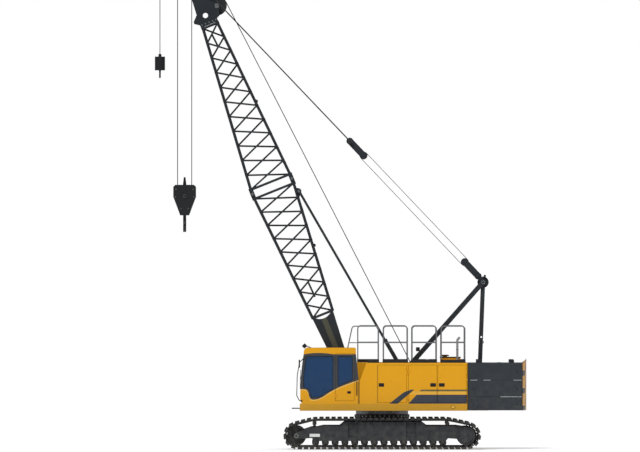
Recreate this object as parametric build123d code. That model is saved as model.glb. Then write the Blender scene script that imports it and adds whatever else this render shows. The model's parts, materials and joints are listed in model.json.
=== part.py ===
from build123d import *
import os
from math import acos, atan2, cos, hypot, pi, radians, sin, tan

# Crawler crane of the 55 tonne class with its basic two-section lattice boom, ready to work.
# Millimetres. +X is forward, +Y the crane's left side, +Z up.
# The origin lies on the ground, under the slewing axis.

# Crawler side frames and tracks
TRACK_GAUGE = 3590.0
SHOE_WIDTH = 760.0
SHOE_PITCH = 176.0
SHOE_DEPTH = 95.0
SHOE_GAP = 50.0
LINK_DEPTH = 30.0
WHEEL_BASE = 4954.0
WHEEL_WRAP_R = 294.0
CARRIER_WRAP_R = 70.0
CARRIER_TOP_Z = 818.0
CARRIER_X = (1957.0, -1886.0)
CARRIER_SEAT_Z = (640.0, 680.0)
SIDE_FRAME_WIDTH = 400.0
SIDE_FRAME_BOTTOM = 240.0
WHEEL_SLOT_WIDTH = 170.0
WHEEL_WIDTH = 150.0
LOWER_ROLLER_R = 105.0
LOWER_ROLLER_COUNT = 14
LOWER_ROLLER_FIRST_X = 1926.0
LOWER_ROLLER_LAST_X = -1755.0
ROLLER_LENGTH = 280.0
DRIVE_COVER_R = 270.0
SEAT_GAP = 0.3
POCKET_Z = (345.0, 716.0)
POCKET_DEPTH = 60.0
BEAM_END_INSET = 70.0

# Carbody and slew ring
AXLE_BEAM_X = 840.0
AXLE_BEAM_WIDTH = 290.0
AXLE_BEAM_Z = (470.0, 760.0)
CARBODY_R = 780.0
CARBODY_Z = (430.0, 900.0)
RING_R = 795.0
RING_BORE_R = 600.0
RING_SPLIT_Z = 1003.0
RING_RUN_GAP = 0.5

# Revolving frame and deck
DECK_BOTTOM = 1113.0
DECK_TOP = 1314.0
DECK_HALF_WIDTH = 1600.0
DECK_REAR_X = -2465.0
DECK_FRONT_LEFT_X = 2384.0
DECK_FRONT_RIGHT_X = 1500.0
BAY_HALF_WIDTH = 700.0
FRAME_TAIL_X = -3080.0
SHEET = 12.0
FLOOR_PLATE = 30.0
GIRDER_Y = (480.0, 520.0)
OUTER_LUG_Y = (600.0, 640.0)

# Boom: foot pin in the crane's frame, the rest in the boom's own frame
BOOM_ANGLE = 68.1
FOOT_PIN = (870.0, 1760.0)
FOOT_PIN_R = 55.0
FOOT_PLATE_Y = 560.0
FOOT_PLATE = 60.0
FOOT_PLATE_END = 2430.0
FOOT_PLATE_THROAT = 2180.0
FOOT_TIE_U = 1300.0
FOOT_PLATE_THROAT_R = 343.0
CHORD_R = 42.0
LACING_R = 26.0
CHORD_Y = 560.0
HEAD_CHORD_Y = 260.0
LOWER_END = 6165.0
UPPER_START = 6405.0
UPPER_END = 11300.0
HEAD_START = 11324.0
TIP = (12700.0, -125.0)
DEFLECTOR = (11748.0, 502.0)
AUX_SHEAVE = (13300.0, -435.0)
PENDANT_EYE = (12080.0, 455.0)
HEAD_PLATE = 30.0
TIP_SHEAVE_R = 208.0
ROPE_R = 11.0
FALL_ROPE_R = 8.0
GROOVE_DEPTH = 14.0

# Gantry, in the crane's frame
GANTRY_HEAD = (-2930.0, 4829.0)
FRONT_LEG_FOOT = (-171.0, 1700.0)
REAR_LEG_FOOT = (-2800.0, 1420.0)
SPREADER_PIN = (-2787.0, 5005.0)
FRONT_LEG_Y = (400.0, 465.0)
REAR_LEG_Y = (325.0, 390.0)
REAR_LEG_COLLAR = (-2871.0, 3091.0)
REAR_LEG_HOLE = (-2878.0, 3239.0)

# Boom backstops
BACKSTOP_FOOT = (-820.0, 1880.0)
BACKSTOP_TOP = (2407.0, 7473.0)
BACKSTOP_Y = 652.0

# Cab, hoods and counterweight
CAB_Y = (690.0, 1600.0)
CAB_WALL = 45.0
HOOD_TOP = 2500.0
HOOD_INNER_Y = 760.0
HOOD_WALL = 30.0
DOOR_GAP = 8.0
ENGINE_X = (-2300.0, -900.0)
ENGINE_INNER_Y = 900.0
ENGINE_TOP = 2200.0
ENGINE_SIDE_GAP = 120.0
WEIGHT_FRONT_X = -2485.0
WEIGHT_REAR_X = -4057.0
TAIL_X = -4172.0
WEIGHT_HALF_WIDTH = 1650.0
WEIGHT_Z = (1125.0, 1517.0, 1998.0, 2494.0)
BOARD_TOP = 2619.0
BOARD_HALF_WIDTH = 1600.0
BOARD_THICKNESS = 12.0

# Hooks
HOOK_BLOCK_TOP = 7653.0
AUX_BALL_TOP = 11371.0


def save(shape, node):
    """Write one sub-part."""
    shape = shape if isinstance(shape, (Compound, Solid, Part)) else Part(shape)
    export_step(shape, f"parts/{node}.step")


def box(x_range, y_range, z_range):
    """Box between two values on each axis."""
    sizes = [abs(r[1] - r[0]) for r in (x_range, y_range, z_range)]
    middle = [(r[0] + r[1]) / 2 for r in (x_range, y_range, z_range)]
    return Pos(*middle) * Box(*sizes)


def rod(start, end, radius):
    """Round bar between two points."""
    run = Vector(*end) - Vector(*start)
    place = Plane(origin=start, z_dir=run)
    return place * Cylinder(radius, run.length, align=(Align.CENTER, Align.CENTER, Align.MIN))


def cross_rod(x, z, y_range, radius):
    """Round bar along Y."""
    return rod((x, y_range[0], z), (x, y_range[1], z), radius)


def side_plate(points, y_range):
    """Plate with an (x, z) outline, from one y to another."""
    outline = Face(Wire.make_polygon([(x, y_range[0], z) for x, z in points]))
    return extrude(outline, amount=y_range[1] - y_range[0], dir=(0, 1, 0))


def joined(shapes):
    """One solid from pieces that share volume."""
    first, *rest = shapes
    return first.fuse(*rest) if rest else first


def rounded_face(corners):
    """Flat face from corners of x, z and radius; a radius of 0 leaves the corner sharp."""
    points = [Vector(x, z) for x, z, _ in corners]
    starts, edges, ends = [], [], []
    for i, corner in enumerate(points):
        before = (points[i - 1] - corner).normalized()
        after = (points[(i + 1) % len(points)] - corner).normalized()
        half = acos(max(-1.0, min(1.0, before.dot(after)))) / 2
        radius = corners[i][2]
        reach = radius / tan(half)
        starts.append(corner + before * reach)
        ends.append(corner + after * reach)
        if radius:
            inwards = (before + after).normalized()
            middle = corner + inwards * (radius / sin(half) - radius)
            edges.append(Edge.make_three_point_arc(starts[-1], middle, ends[-1]))
    for i, end in enumerate(ends):
        edges.append(Edge.make_line(end, starts[(i + 1) % len(points)]))
    return Face(Wire(edges))


def upright(flat, y_range):
    """Plate from a flat face, stood up from one y to another."""
    plate = extrude(flat, amount=y_range[1] - y_range[0], dir=(0, 0, 1))
    return Pos(0, y_range[1], 0) * Rot(90, 0, 0) * plate


def rounded_plate(corners, y_range):
    """Plate with an outline of corners with radii."""
    return upright(rounded_face(corners), y_range)


def tube(points, bend, radius):
    """Round tube along points, with bends of one radius."""
    path = FilletPolyline(*points, radius=bend)
    section = Plane(origin=path @ 0, z_dir=path % 0) * Circle(radius)
    return sweep(section, path=path)


def both_sides(shape):
    """A shape and its mirror image across the crane's middle plane."""
    return [shape, mirror(shape, about=Plane.XZ)]


def left_right(shape, node):
    """Write a left sub-part and its mirror image on the right."""
    left, right = both_sides(shape)
    save(left, f"{node}_left")
    save(right, f"{node}_right")


def side(y_range, sign):
    """A y range on the left for sign 1, on the right for -1."""
    return tuple(sorted(sign * y for y in y_range))


def bar_plate(start, end, width, y_range, end_r, bore_r):
    """Flat link between two (x, z) pins, with round ends and bores."""
    run = atan2(end[1] - start[1], end[0] - start[0])
    nx, nz = -sin(run) * width / 2, cos(run) * width / 2
    corners = [(start[0] + nx, start[1] + nz), (end[0] + nx, end[1] + nz),
               (end[0] - nx, end[1] - nz), (start[0] - nx, start[1] - nz)]
    ends = [cross_rod(x, z, y_range, end_r) for x, z in (start, end)]
    link = joined([side_plate(corners, y_range), *ends])
    for x, z in (start, end):
        link -= cross_rod(x, z, (y_range[0] - 1, y_range[1] + 1), bore_r)
    return link


def belt_path(circles):
    """Runs and arcs of a belt that goes round circles (x, z, r), seen with +X to the right."""
    normals = []
    for (x0, z0, r0), (x1, z1, r1) in zip(circles, circles[1:] + circles[:1]):
        run = hypot(x1 - x0, z1 - z0)
        normals.append(atan2(z1 - z0, x1 - x0) - acos((r0 - r1) / run))
    pieces = []
    for i, (x, z, r) in enumerate(circles):
        start, end = normals[i - 1], normals[i]
        turn = (end - start) % (2 * pi)
        pieces.append(("arc", (x, z), r, start, turn))
        x1, z1, r1 = circles[(i + 1) % len(circles)]
        from_point = (x + r * cos(end), z + r * sin(end))
        to_point = (x1 + r1 * cos(end), z1 + r1 * sin(end))
        pieces.append(("run", from_point, to_point))
    return pieces


def belt_points(circles, pitch):
    """Points at equal steps, close to pitch, along a belt."""
    pieces = belt_path(circles)
    lengths = [p[2] * p[4] if p[0] == "arc" else hypot(p[2][0] - p[1][0], p[2][1] - p[1][1])
               for p in pieces]
    count = round(sum(lengths) / pitch)
    step = sum(lengths) / count
    points = []
    for i in range(count):
        along = i * step
        for piece, length in zip(pieces, lengths):
            if along <= length:
                break
            along -= length
        if piece[0] == "arc":
            _, (x, z), r, start, _ = piece
            angle = start + along / r
            points.append((x + r * cos(angle), z + r * sin(angle)))
        else:
            _, (x0, z0), (x1, z1) = piece
            share = along / length
            points.append((x0 + (x1 - x0) * share, z0 + (z1 - z0) * share))
    return points


WHEEL_X = WHEEL_BASE / 2
WHEEL_Z = SHOE_DEPTH + WHEEL_WRAP_R
TRACK_Y = TRACK_GAUGE / 2
FRAME_Y = (TRACK_Y - SIDE_FRAME_WIDTH / 2, TRACK_Y + SIDE_FRAME_WIDTH / 2)


def track():
    """Closed loop of shoes on their links, as one solid."""
    carrier_z = CARRIER_TOP_Z - CARRIER_WRAP_R
    circles = [(-WHEEL_X, WHEEL_Z, WHEEL_WRAP_R), (WHEEL_X, WHEEL_Z, WHEEL_WRAP_R),
               (CARRIER_X[0], carrier_z, CARRIER_WRAP_R), (CARRIER_X[1], carrier_z, CARRIER_WRAP_R)]
    pins = belt_points(circles, SHOE_PITCH)
    outer = []
    for (x0, z0), (x1, z1) in zip(pins, pins[1:] + pins[:1]):
        run = hypot(x1 - x0, z1 - z0)
        ux, uz = (x1 - x0) / run, (z1 - z0) / run
        for along, out in ((SHOE_GAP / 2, LINK_DEPTH), (SHOE_GAP / 2, SHOE_DEPTH),
                           (run - SHOE_GAP / 2, SHOE_DEPTH), (run - SHOE_GAP / 2, LINK_DEPTH)):
            outer.append((x0 + ux * along + uz * out, z0 + uz * along - ux * out))
    y_range = (TRACK_Y - SHOE_WIDTH / 2, TRACK_Y + SHOE_WIDTH / 2)
    return side_plate(outer, y_range) - side_plate(pins, y_range)


def wheel(x, z, radius, width, hub_r, hub_width, web):
    """Track wheel with a rim, a thin web and a hub, turning about Y."""
    rim = radius - 45
    profile = [(0, -hub_width / 2), (hub_r, -hub_width / 2), (hub_r, -web / 2), (rim, -web / 2),
               (rim, -width / 2), (radius, -width / 2), (radius, width / 2), (rim, width / 2),
               (rim, web / 2), (hub_r, web / 2), (hub_r, hub_width / 2), (0, hub_width / 2)]
    face = Face(Wire.make_polygon([(r, y, 0) for r, y in profile]))
    return Pos(x, TRACK_Y, z) * revolve(face, Axis.Y)


def idler():
    """Front wheel on its shaft."""
    radius = WHEEL_WRAP_R - 15
    shaft = cross_rod(WHEEL_X, WHEEL_Z, (FRAME_Y[0] + 10, FRAME_Y[1] + 15), 44.7)
    return joined([wheel(WHEEL_X, WHEEL_Z, radius, WHEEL_WIDTH, 90, WHEEL_WIDTH + 10, 50), shaft])


def final_drive():
    """Toothed drive wheel with its motor housing and outer cover."""
    teeth = 19
    tip_r, root_r = WHEEL_WRAP_R - 15, WHEEL_WRAP_R - 42
    outline = []
    for i in range(teeth):
        for share, r in ((0.0, root_r), (0.3, root_r), (0.5, tip_r), (0.8, tip_r)):
            angle = 2 * pi * (i + share) / teeth
            outline.append((-WHEEL_X + r * cos(angle), WHEEL_Z + r * sin(angle)))
    half = WHEEL_WIDTH / 2 - 15
    sprocket = side_plate(outline, (TRACK_Y - half, TRACK_Y + half))
    hub = cross_rod(-WHEEL_X, WHEEL_Z, (TRACK_Y - 240, FRAME_Y[1] + 5), 150)
    cover = cross_rod(-WHEEL_X + 60, WHEEL_Z, (FRAME_Y[1], FRAME_Y[1] + 70), DRIVE_COVER_R)
    cap = cross_rod(-WHEEL_X + 60, WHEEL_Z, (FRAME_Y[1] + 60, FRAME_Y[1] + 105), DRIVE_COVER_R - 70)
    return joined([sprocket, hub, cover, cap])


def track_frame():
    """Side frame: raised middle, sloped ends, forks for the wheels and a trough for the rollers."""
    # x and z of the outline, from the rear underside forwards and back over the top
    outline = [(-1840, SIDE_FRAME_BOTTOM), (1960, SIDE_FRAME_BOTTOM), (2040, 330), (2400, 300),
               (2560, 320), (2560, 460), (2400, 520), (2180, 590), (2030, CARRIER_SEAT_Z[0]),
               (1880, CARRIER_SEAT_Z[0]), (1700, 680), (1230, 680),
               (1090, 790), (-1145, 790), (-1290, CARRIER_SEAT_Z[1]), (-2150, CARRIER_SEAT_Z[1]),
               (-2400, 640), (-2660, 500), (-2660, 280), (-2400, 160), (-2230, 300), (-1900, 320)]
    frame = side_plate(outline, FRAME_Y)
    slot_y = (TRACK_Y - WHEEL_SLOT_WIDTH / 2, TRACK_Y + WHEEL_SLOT_WIDTH / 2)
    reach = WHEEL_WRAP_R + 12
    for sign in (1, -1):
        frame -= box((sign * (WHEEL_X - reach), sign * (WHEEL_X + reach)), slot_y, (0, 900))
    trough = ROLLER_LENGTH / 2 + 25
    frame -= box((-2300, 2300), (TRACK_Y - trough, TRACK_Y + trough), (0, 330))
    frame -= cross_rod(WHEEL_X, WHEEL_Z, (FRAME_Y[0] - 1, FRAME_Y[1] + 1), 45)
    frame -= cross_rod(-WHEEL_X, WHEEL_Z, (FRAME_Y[0] - 1, FRAME_Y[1] + 1), 150 + SEAT_GAP)
    for sign in (1, -1):
        x = sign * AXLE_BEAM_X
        half = AXLE_BEAM_WIDTH / 2 + SEAT_GAP
        z_range = (AXLE_BEAM_Z[0] - SEAT_GAP, AXLE_BEAM_Z[1] + SEAT_GAP)
        frame -= box((x - half, x + half), (FRAME_Y[0] - 1, FRAME_Y[1] + 1), z_range)
        frame -= box((x - half, x + half), (FRAME_Y[1] - POCKET_DEPTH, FRAME_Y[1] + 1), POCKET_Z)
    return frame


def rollers():
    """Lower rollers on their shafts and the two carrier rollers with their posts."""
    parts = []
    step = (LOWER_ROLLER_LAST_X - LOWER_ROLLER_FIRST_X) / (LOWER_ROLLER_COUNT - 1)
    z = SHOE_DEPTH + SEAT_GAP + LOWER_ROLLER_R
    half = ROLLER_LENGTH / 2
    for i in range(LOWER_ROLLER_COUNT):
        x = LOWER_ROLLER_FIRST_X + i * step
        pieces = [cross_rod(x, z, (TRACK_Y - half, TRACK_Y + half), LOWER_ROLLER_R),
                  cross_rod(x, z, (FRAME_Y[0] + 5, FRAME_Y[1] - 5), 30)]
        for block_y in ((FRAME_Y[0], FRAME_Y[0] + 45), (FRAME_Y[1] - 45, FRAME_Y[1])):
            pieces.append(box((x - 50, x + 50), block_y, (z - 42, SIDE_FRAME_BOTTOM)))
        parts.append(joined(pieces))
    carrier_z = CARRIER_TOP_Z - CARRIER_WRAP_R
    for x, seat_z in zip(CARRIER_X, CARRIER_SEAT_Z):
        roller = cross_rod(x, carrier_z, (TRACK_Y - half, TRACK_Y + half), CARRIER_WRAP_R - 10)
        post = box((x - 40, x + 40), (TRACK_Y - 30, TRACK_Y + 30), (seat_z, carrier_z))
        parts.append(joined([roller, post]))
    return Compound(parts)


def carbody():
    """Centre body with its two axle beams, which carry the side frames."""
    centre = Pos(0, 0, sum(CARBODY_Z) / 2) * Cylinder(CARBODY_R, CARBODY_Z[1] - CARBODY_Z[0])
    parts = [centre]
    reach = FRAME_Y[1] - BEAM_END_INSET
    for sign in (1, -1):
        x = sign * AXLE_BEAM_X
        half = AXLE_BEAM_WIDTH / 2
        parts.append(box((x - half, x + half), (-reach, reach), AXLE_BEAM_Z))
    return joined(parts)


def slew_rings():
    """Lower ring, fixed to the carbody, and upper ring with a spigot inside it."""
    low, top = CARBODY_Z[1], RING_SPLIT_Z
    lower = Pos(0, 0, (low + top) / 2) * (Cylinder(RING_R, top - low) - Cylinder(RING_BORE_R, top))
    spigot_r = RING_BORE_R - RING_RUN_GAP
    upper_low = top + RING_RUN_GAP
    flange = Pos(0, 0, (upper_low + DECK_BOTTOM) / 2) * Cylinder(RING_R - 40, DECK_BOTTOM - upper_low)
    spigot_low = low + 40
    spigot = Pos(0, 0, (spigot_low + DECK_BOTTOM) / 2) * Cylinder(spigot_r, DECK_BOTTOM - spigot_low)
    bore = Pos(0, 0, low) * Cylinder(spigot_r - 60, 2 * DECK_BOTTOM)
    return lower, joined([flange, spigot]) - bore


def girder_outline():
    """Side view of a main girder, with the boom foot boss at its front."""
    x, z = FOOT_PIN
    return [(FRAME_TAIL_X, DECK_BOTTOM), (x + 180, DECK_BOTTOM), (x + 180, z), (x + 110, z + 150),
            (x - 60, z + 170), (x - 520, z + 230), (-1000, z + 230), (-1500, 1640),
            (FRAME_TAIL_X, 1600)]


def revolving_frame():
    """Deck with its skirts, two girders, boom foot lugs and pins."""
    parts = [box((FRAME_TAIL_X, FOOT_PIN[0] + 180), (-BAY_HALF_WIDTH - SHEET, BAY_HALF_WIDTH + SHEET),
                 (DECK_BOTTOM, DECK_BOTTOM + FLOOR_PLATE))]
    for sign, front in ((1, DECK_FRONT_LEFT_X), (-1, DECK_FRONT_RIGHT_X)):
        deck_y = side((BAY_HALF_WIDTH, DECK_HALF_WIDTH), sign)
        deck = box((DECK_REAR_X, front), deck_y, (DECK_BOTTOM, DECK_TOP))
        inner_y = side((BAY_HALF_WIDTH + SHEET, DECK_HALF_WIDTH - SHEET), sign)
        deck -= box((DECK_REAR_X + SHEET, front - SHEET), inner_y, (DECK_BOTTOM, DECK_TOP - SHEET))
        x, z = FOOT_PIN
        lug = side_plate([(x - 250, DECK_BOTTOM), (x + 180, DECK_BOTTOM), (x + 180, z),
                          (x + 110, z + 150), (x - 110, z + 150), (x - 180, z)],
                         side(OUTER_LUG_Y, sign))
        girder = side_plate(girder_outline(), side(GIRDER_Y, sign))
        pin = cross_rod(x, z, side((GIRDER_Y[0] - 15, OUTER_LUG_Y[1] + 15), sign), FOOT_PIN_R)
        front_pin = cross_rod(*FRONT_LEG_FOOT, side((FRONT_LEG_Y[0] - 10, GIRDER_Y[1] + 10), sign), 35)
        rear_pin = cross_rod(*REAR_LEG_FOOT, side((REAR_LEG_Y[0] - 10, GIRDER_Y[1] + 10), sign), 35)
        stop_pin = cross_rod(*BACKSTOP_FOOT, side((GIRDER_Y[1] - 5, BACKSTOP_Y + 38), sign), 25)
        stop_boss = cross_rod(*BACKSTOP_FOOT, side((GIRDER_Y[1] - 5, BACKSTOP_Y - 32), sign), 40)
        parts += [deck, lug, girder, pin, front_pin, rear_pin, stop_pin, stop_boss]
    for x, z_top in ((600, 1700), (-1900, 1600), (-3000, 1500)):
        parts.append(box((x - 15, x + 15), (-GIRDER_Y[1], GIRDER_Y[1]), (DECK_BOTTOM, z_top)))
    return joined(parts)


def hinge_parts(x, y, z, length, direction, sign):
    """Fixed pin with its knuckle, and the door's knuckle above it, for a door towards direction."""
    fixed = joined([rod((x, y, z - length), (x, y, z), 14), rod((x, y, z - 1), (x, y, z + length), 6),
                    box((x - direction * 30, x), side((abs(y) - 20, abs(y) - 8), sign),
                        (z - length + 5, z - 5))])
    moving = joined([rod((x, y, z + 0.3), (x, y, z + length), 14),
                     box((x, x + direction * 40), side((abs(y) - 20, abs(y) - 8), sign),
                         (z + 5, z + length - 5))])
    moving -= rod((x, y, z), (x, y, z + length + 1), 6.3)
    return fixed, moving


# Doors: name, side, x of the hinge edge, x of the free edge, bottom, top, wall, outer y
DOORS = (
    ("cab_door", 1, 1352, 790, 1400, 2770, CAB_WALL, CAB_Y[1]),
    ("hood_door_left_front", 1, -712, 130, 1345, 2440, HOOD_WALL, DECK_HALF_WIDTH),
    ("hood_door_left_middle", 1, -756, -1590, 1345, 2440, HOOD_WALL, DECK_HALF_WIDTH),
    ("hood_door_left_rear", 1, -2440, -1606, 1345, 2440, HOOD_WALL, DECK_HALF_WIDTH),
    ("hood_door_right_front", -1, -712, 130, 1345, 2440, HOOD_WALL, DECK_HALF_WIDTH),
    ("hood_door_right_rear", -1, -756, -1590, 1345, 2440, HOOD_WALL, DECK_HALF_WIDTH),
)
HINGE_LENGTH = 60.0
HINGE_OFFSET = 17.0


def door_hinges(door):
    """Fixed and moving hinge pieces of one door."""
    _, sign, hinge_x, free_x, low, high, _, outer_y = door
    direction = 1 if free_x > hinge_x else -1
    fixed, moving = [], []
    for z in (low + 150, high - 210):
        pair = hinge_parts(hinge_x, sign * (outer_y + HINGE_OFFSET), z, HINGE_LENGTH, direction, sign)
        fixed.append(pair[0])
        moving.append(pair[1])
    return fixed, moving


def door_range(door, gap):
    """x and z limits of a door's panel, or of its opening when gap is 0."""
    _, _, hinge_x, free_x, low, high, _, _ = door
    direction = 1 if free_x > hinge_x else -1
    x_range = (hinge_x + direction * gap, free_x - direction * gap)
    return x_range, (low + gap, high - gap)


def door_panel(door):
    """Door panel with its hinge knuckles."""
    _, sign, _, _, _, _, wall, outer_y = door
    x_range, z_range = door_range(door, DOOR_GAP)
    panel = box(x_range, side((outer_y - wall, outer_y), sign), z_range)
    if door[0] == "cab_door":
        panel -= rounded_plate(DOOR_WINDOW, (outer_y - wall - 1, outer_y + 1))
    return joined([panel, *door_hinges(door)[1]])


def cut_openings(shell, names):
    """Cut the openings of the named doors and add their fixed hinge pieces."""
    for door in DOORS:
        if door[0] in names:
            _, sign, _, _, _, _, wall, outer_y = door
            x_range, z_range = door_range(door, 0)
            shell -= box(x_range, side((outer_y - wall - 1, outer_y + 1), sign), z_range)
            shell = joined([shell, *door_hinges(door)[0]])
    return shell


CAB_ROOF_Z = 2938.0

# Cab side view from the rear bottom corner forwards: x, z, corner radius
CAB_OUTLINE = ((681, DECK_TOP, 0), (2325, DECK_TOP, 0), (2369, 1400, 50), (2369, 1723, 0),
               (2355, 2195, 7000), (2271, 2761, 0), (2262, CAB_ROOF_Z, 125), (757, CAB_ROOF_Z, 50),
               (757, 2765, 0), (681, 2007, 0))

# Windows: x, z, corner radius
LEFT_WINDOW = ((1410, 1745, 30), (1812, 1500, 150), (2060, 1490, 60), (2130, 1740, 50),
               (2290, 1780, 30), (2277, 2200, 5000), (2205, 2700, 50), (1410, 2700, 40))
DOOR_WINDOW = ((850, 2000, 40), (1290, 1815, 40), (1290, 2700, 40), (850, 2700, 40))
RIGHT_WINDOW = ((900, 1900, 40), (2230, 1700, 60), (2200, 2700, 60), (900, 2700, 40))
FRONT_WINDOW_Y = (CAB_Y[0] + 70, CAB_Y[1] - 70)
FRONT_WINDOW_Z = (1760, 2740)
REAR_WINDOW_Y = (CAB_Y[0] + 120, CAB_Y[1] - 120)
REAR_WINDOW_Z = (2150, 2700)
PANE = 6.0
PANE_DEPTH = 20.0
PANE_GAP = 0.3


def cab_plate(inset, y_range):
    """Cab outline drawn inwards by an inset, as a plate."""
    face = rounded_face(CAB_OUTLINE)
    flat = offset(face, amount=-inset, kind=Kind.INTERSECTION) if inset else face
    return upright(flat, y_range)


def cab_shell():
    """Hollow cab with its windows and the door opening."""
    shell = cab_plate(0, CAB_Y) - cab_plate(CAB_WALL, (CAB_Y[0] + CAB_WALL, CAB_Y[1] - CAB_WALL))
    shell -= rounded_plate(LEFT_WINDOW, (CAB_Y[1] - CAB_WALL - 1, CAB_Y[1] + 1))
    shell -= rounded_plate(RIGHT_WINDOW, (CAB_Y[0] - 1, CAB_Y[0] + CAB_WALL + 1))
    shell -= box((2150, 2450), FRONT_WINDOW_Y, FRONT_WINDOW_Z)
    shell -= box((600, 850), REAR_WINDOW_Y, REAR_WINDOW_Z)
    return cut_openings(shell, ("cab_door",))


def pane_range(outer_y, inner_y):
    """y limits of a side pane in the middle of a wall."""
    middle = (outer_y + inner_y) / 2
    return (middle - PANE / 2, middle + PANE / 2)


def cab_glass():
    """Fixed panes of the cab: left, right, front and rear."""
    left_y = pane_range(CAB_Y[1], CAB_Y[1] - CAB_WALL)
    right_y = pane_range(CAB_Y[0], CAB_Y[0] + CAB_WALL)
    layer = cab_plate(PANE_DEPTH, CAB_Y) - cab_plate(PANE_DEPTH + PANE, CAB_Y)
    panes = [rounded_plate(LEFT_WINDOW, left_y), rounded_plate(RIGHT_WINDOW, right_y)]
    for x_range, y_range, z_range in (((2150, 2450), FRONT_WINDOW_Y, FRONT_WINDOW_Z),
                                      ((600, 850), REAR_WINDOW_Y, REAR_WINDOW_Z)):
        opening = box(x_range, (y_range[0] + PANE_GAP, y_range[1] - PANE_GAP),
                      (z_range[0] + PANE_GAP, z_range[1] - PANE_GAP))
        panes.append(layer & opening)
    return Compound(panes)


def cab_door_glass():
    """Pane of the cab's door."""
    return rounded_plate(DOOR_WINDOW, pane_range(CAB_Y[1], CAB_Y[1] - CAB_WALL))


# Mirror bar at the cab's front left corner: x, z
MIRROR_BAR = ((2262, 2640), (2392, 2514), (2456, 2137), (2471, 1557), (2392, 1400), (2325, 1400))
MIRROR_BAR_R = 12.0
BAR_FOOT = 12.0
MIRROR = (2398.0, 2474.0)
MIRROR_SIZE = (36.0, 170.0, 232.0)
LAMP = (2243.0, 2990.0)
LAMP_SIZE = 110.0
LAMP_Y = 1480.0
STEP_SIZE = (232.0, 420.0, 25.0)
STEP_TOP = 1195.0


def cab_fittings():
    """Mirror on its bar, work lamp on its bracket and the step in front of the deck."""
    y = CAB_Y[1] + BAR_FOOT + MIRROR_BAR_R
    bar = tube([(x, y, z) for x, z in MIRROR_BAR], 60, MIRROR_BAR_R)
    feet = [box((x - 18, x + 18), (CAB_Y[1], y), (z - 18, z + 18))
            for x, z in (MIRROR_BAR[0], MIRROR_BAR[-1])]
    width, breadth, height = MIRROR_SIZE
    mirror = Pos(MIRROR[0], y + breadth / 2, MIRROR[1]) * Box(width, breadth, height)
    lamp = Pos(LAMP[0], LAMP_Y, LAMP[1]) * Rot(0, 45, 0) * Box(LAMP_SIZE, LAMP_SIZE, LAMP_SIZE)
    foot = box((2050, 2120), (LAMP_Y - 30, LAMP_Y + 30), (CAB_ROOF_Z, CAB_ROOF_Z + 12))
    arm = rod((2085, LAMP_Y, CAB_ROOF_Z + 14), (LAMP[0], LAMP_Y, LAMP[1]), 12)
    length, reach, thick = STEP_SIZE
    step = Pos(DECK_FRONT_LEFT_X + length / 2, 1360, STEP_TOP - thick / 2) * Box(length, reach, thick)
    return Compound([joined([bar, *feet, mirror]), joined([foot, arm, lamp]), step])


def operator_seat():
    """Seat on its pedestal with the two control consoles."""
    floor = DECK_TOP + CAB_WALL
    y = sum(CAB_Y) / 2
    parts = [box((1150, 1450), (y - 150, y + 150), (floor, 1700)),
             box((1050, 1560), (y - 250, y + 250), (1690, 1820)),
             box((1000, 1120), (y - 240, y + 240), (1700, 2350))]
    for sign in (1, -1):
        low, high = sorted((y + sign * 240, y + sign * 330))
        parts.append(box((1250, 1650), (low, high), (1650, 1950)))
    return joined(parts)


def hood(sign, front):
    """Machinery hood: thin walls round an empty bay."""
    outline = [(DECK_REAR_X, DECK_TOP), (front, DECK_TOP), (front, 1963), (front - 200, HOOD_TOP),
               (DECK_REAR_X, HOOD_TOP)]
    inner = [(DECK_REAR_X + HOOD_WALL, DECK_TOP), (front - HOOD_WALL, DECK_TOP),
             (front - HOOD_WALL, 1950), (front - 225, HOOD_TOP - HOOD_WALL),
             (DECK_REAR_X + HOOD_WALL, HOOD_TOP - HOOD_WALL)]
    shell = side_plate(outline, side((HOOD_INNER_Y, DECK_HALF_WIDTH), sign))
    shell -= side_plate(inner, side((HOOD_INNER_Y + HOOD_WALL, DECK_HALF_WIDTH - HOOD_WALL), sign))
    word = "left" if sign > 0 else "right"
    return cut_openings(shell, [d[0] for d in DOORS if d[0].startswith(f"hood_door_{word}")])


# Fittings on the hoods' tops
AIR_CLEANER_X = (-2282.0, -1691.0)
AIR_CLEANER_SIDE_GAP = 150.0
AIR_CLEANER_INNER_Y = 1050.0
AIR_CLEANER_Y = (AIR_CLEANER_SIDE_GAP - DECK_HALF_WIDTH, -AIR_CLEANER_INNER_Y)
AIR_CLEANER_TOP = 2651.0
AIR_CAP = (-1827.0, sum(AIR_CLEANER_Y) / 2, 116.0, 66.0)
EXHAUST = (-2190.0, -900.0)
EXHAUST_R = 34.0
EXHAUST_TOP = 3152.0
EXHAUST_OUTLET = (-2262.0, 3230.0)
VENT = (-1305.0, 1150.0)
VENT_R = 87.0
VENT_HEIGHT = 100.0


def air_cleaner():
    """Air cleaner housing with its intake cap, on the right hood."""
    x, y, radius, height = AIR_CAP
    housing = box(AIR_CLEANER_X, AIR_CLEANER_Y, (HOOD_TOP, AIR_CLEANER_TOP))
    neck = Pos(x, y, AIR_CLEANER_TOP + height / 4) * Cylinder(radius * 0.6, height)
    cap = Pos(x, y, AIR_CLEANER_TOP + height * 0.75) * Cylinder(radius, height / 2)
    return joined([housing, neck, cap])


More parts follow.
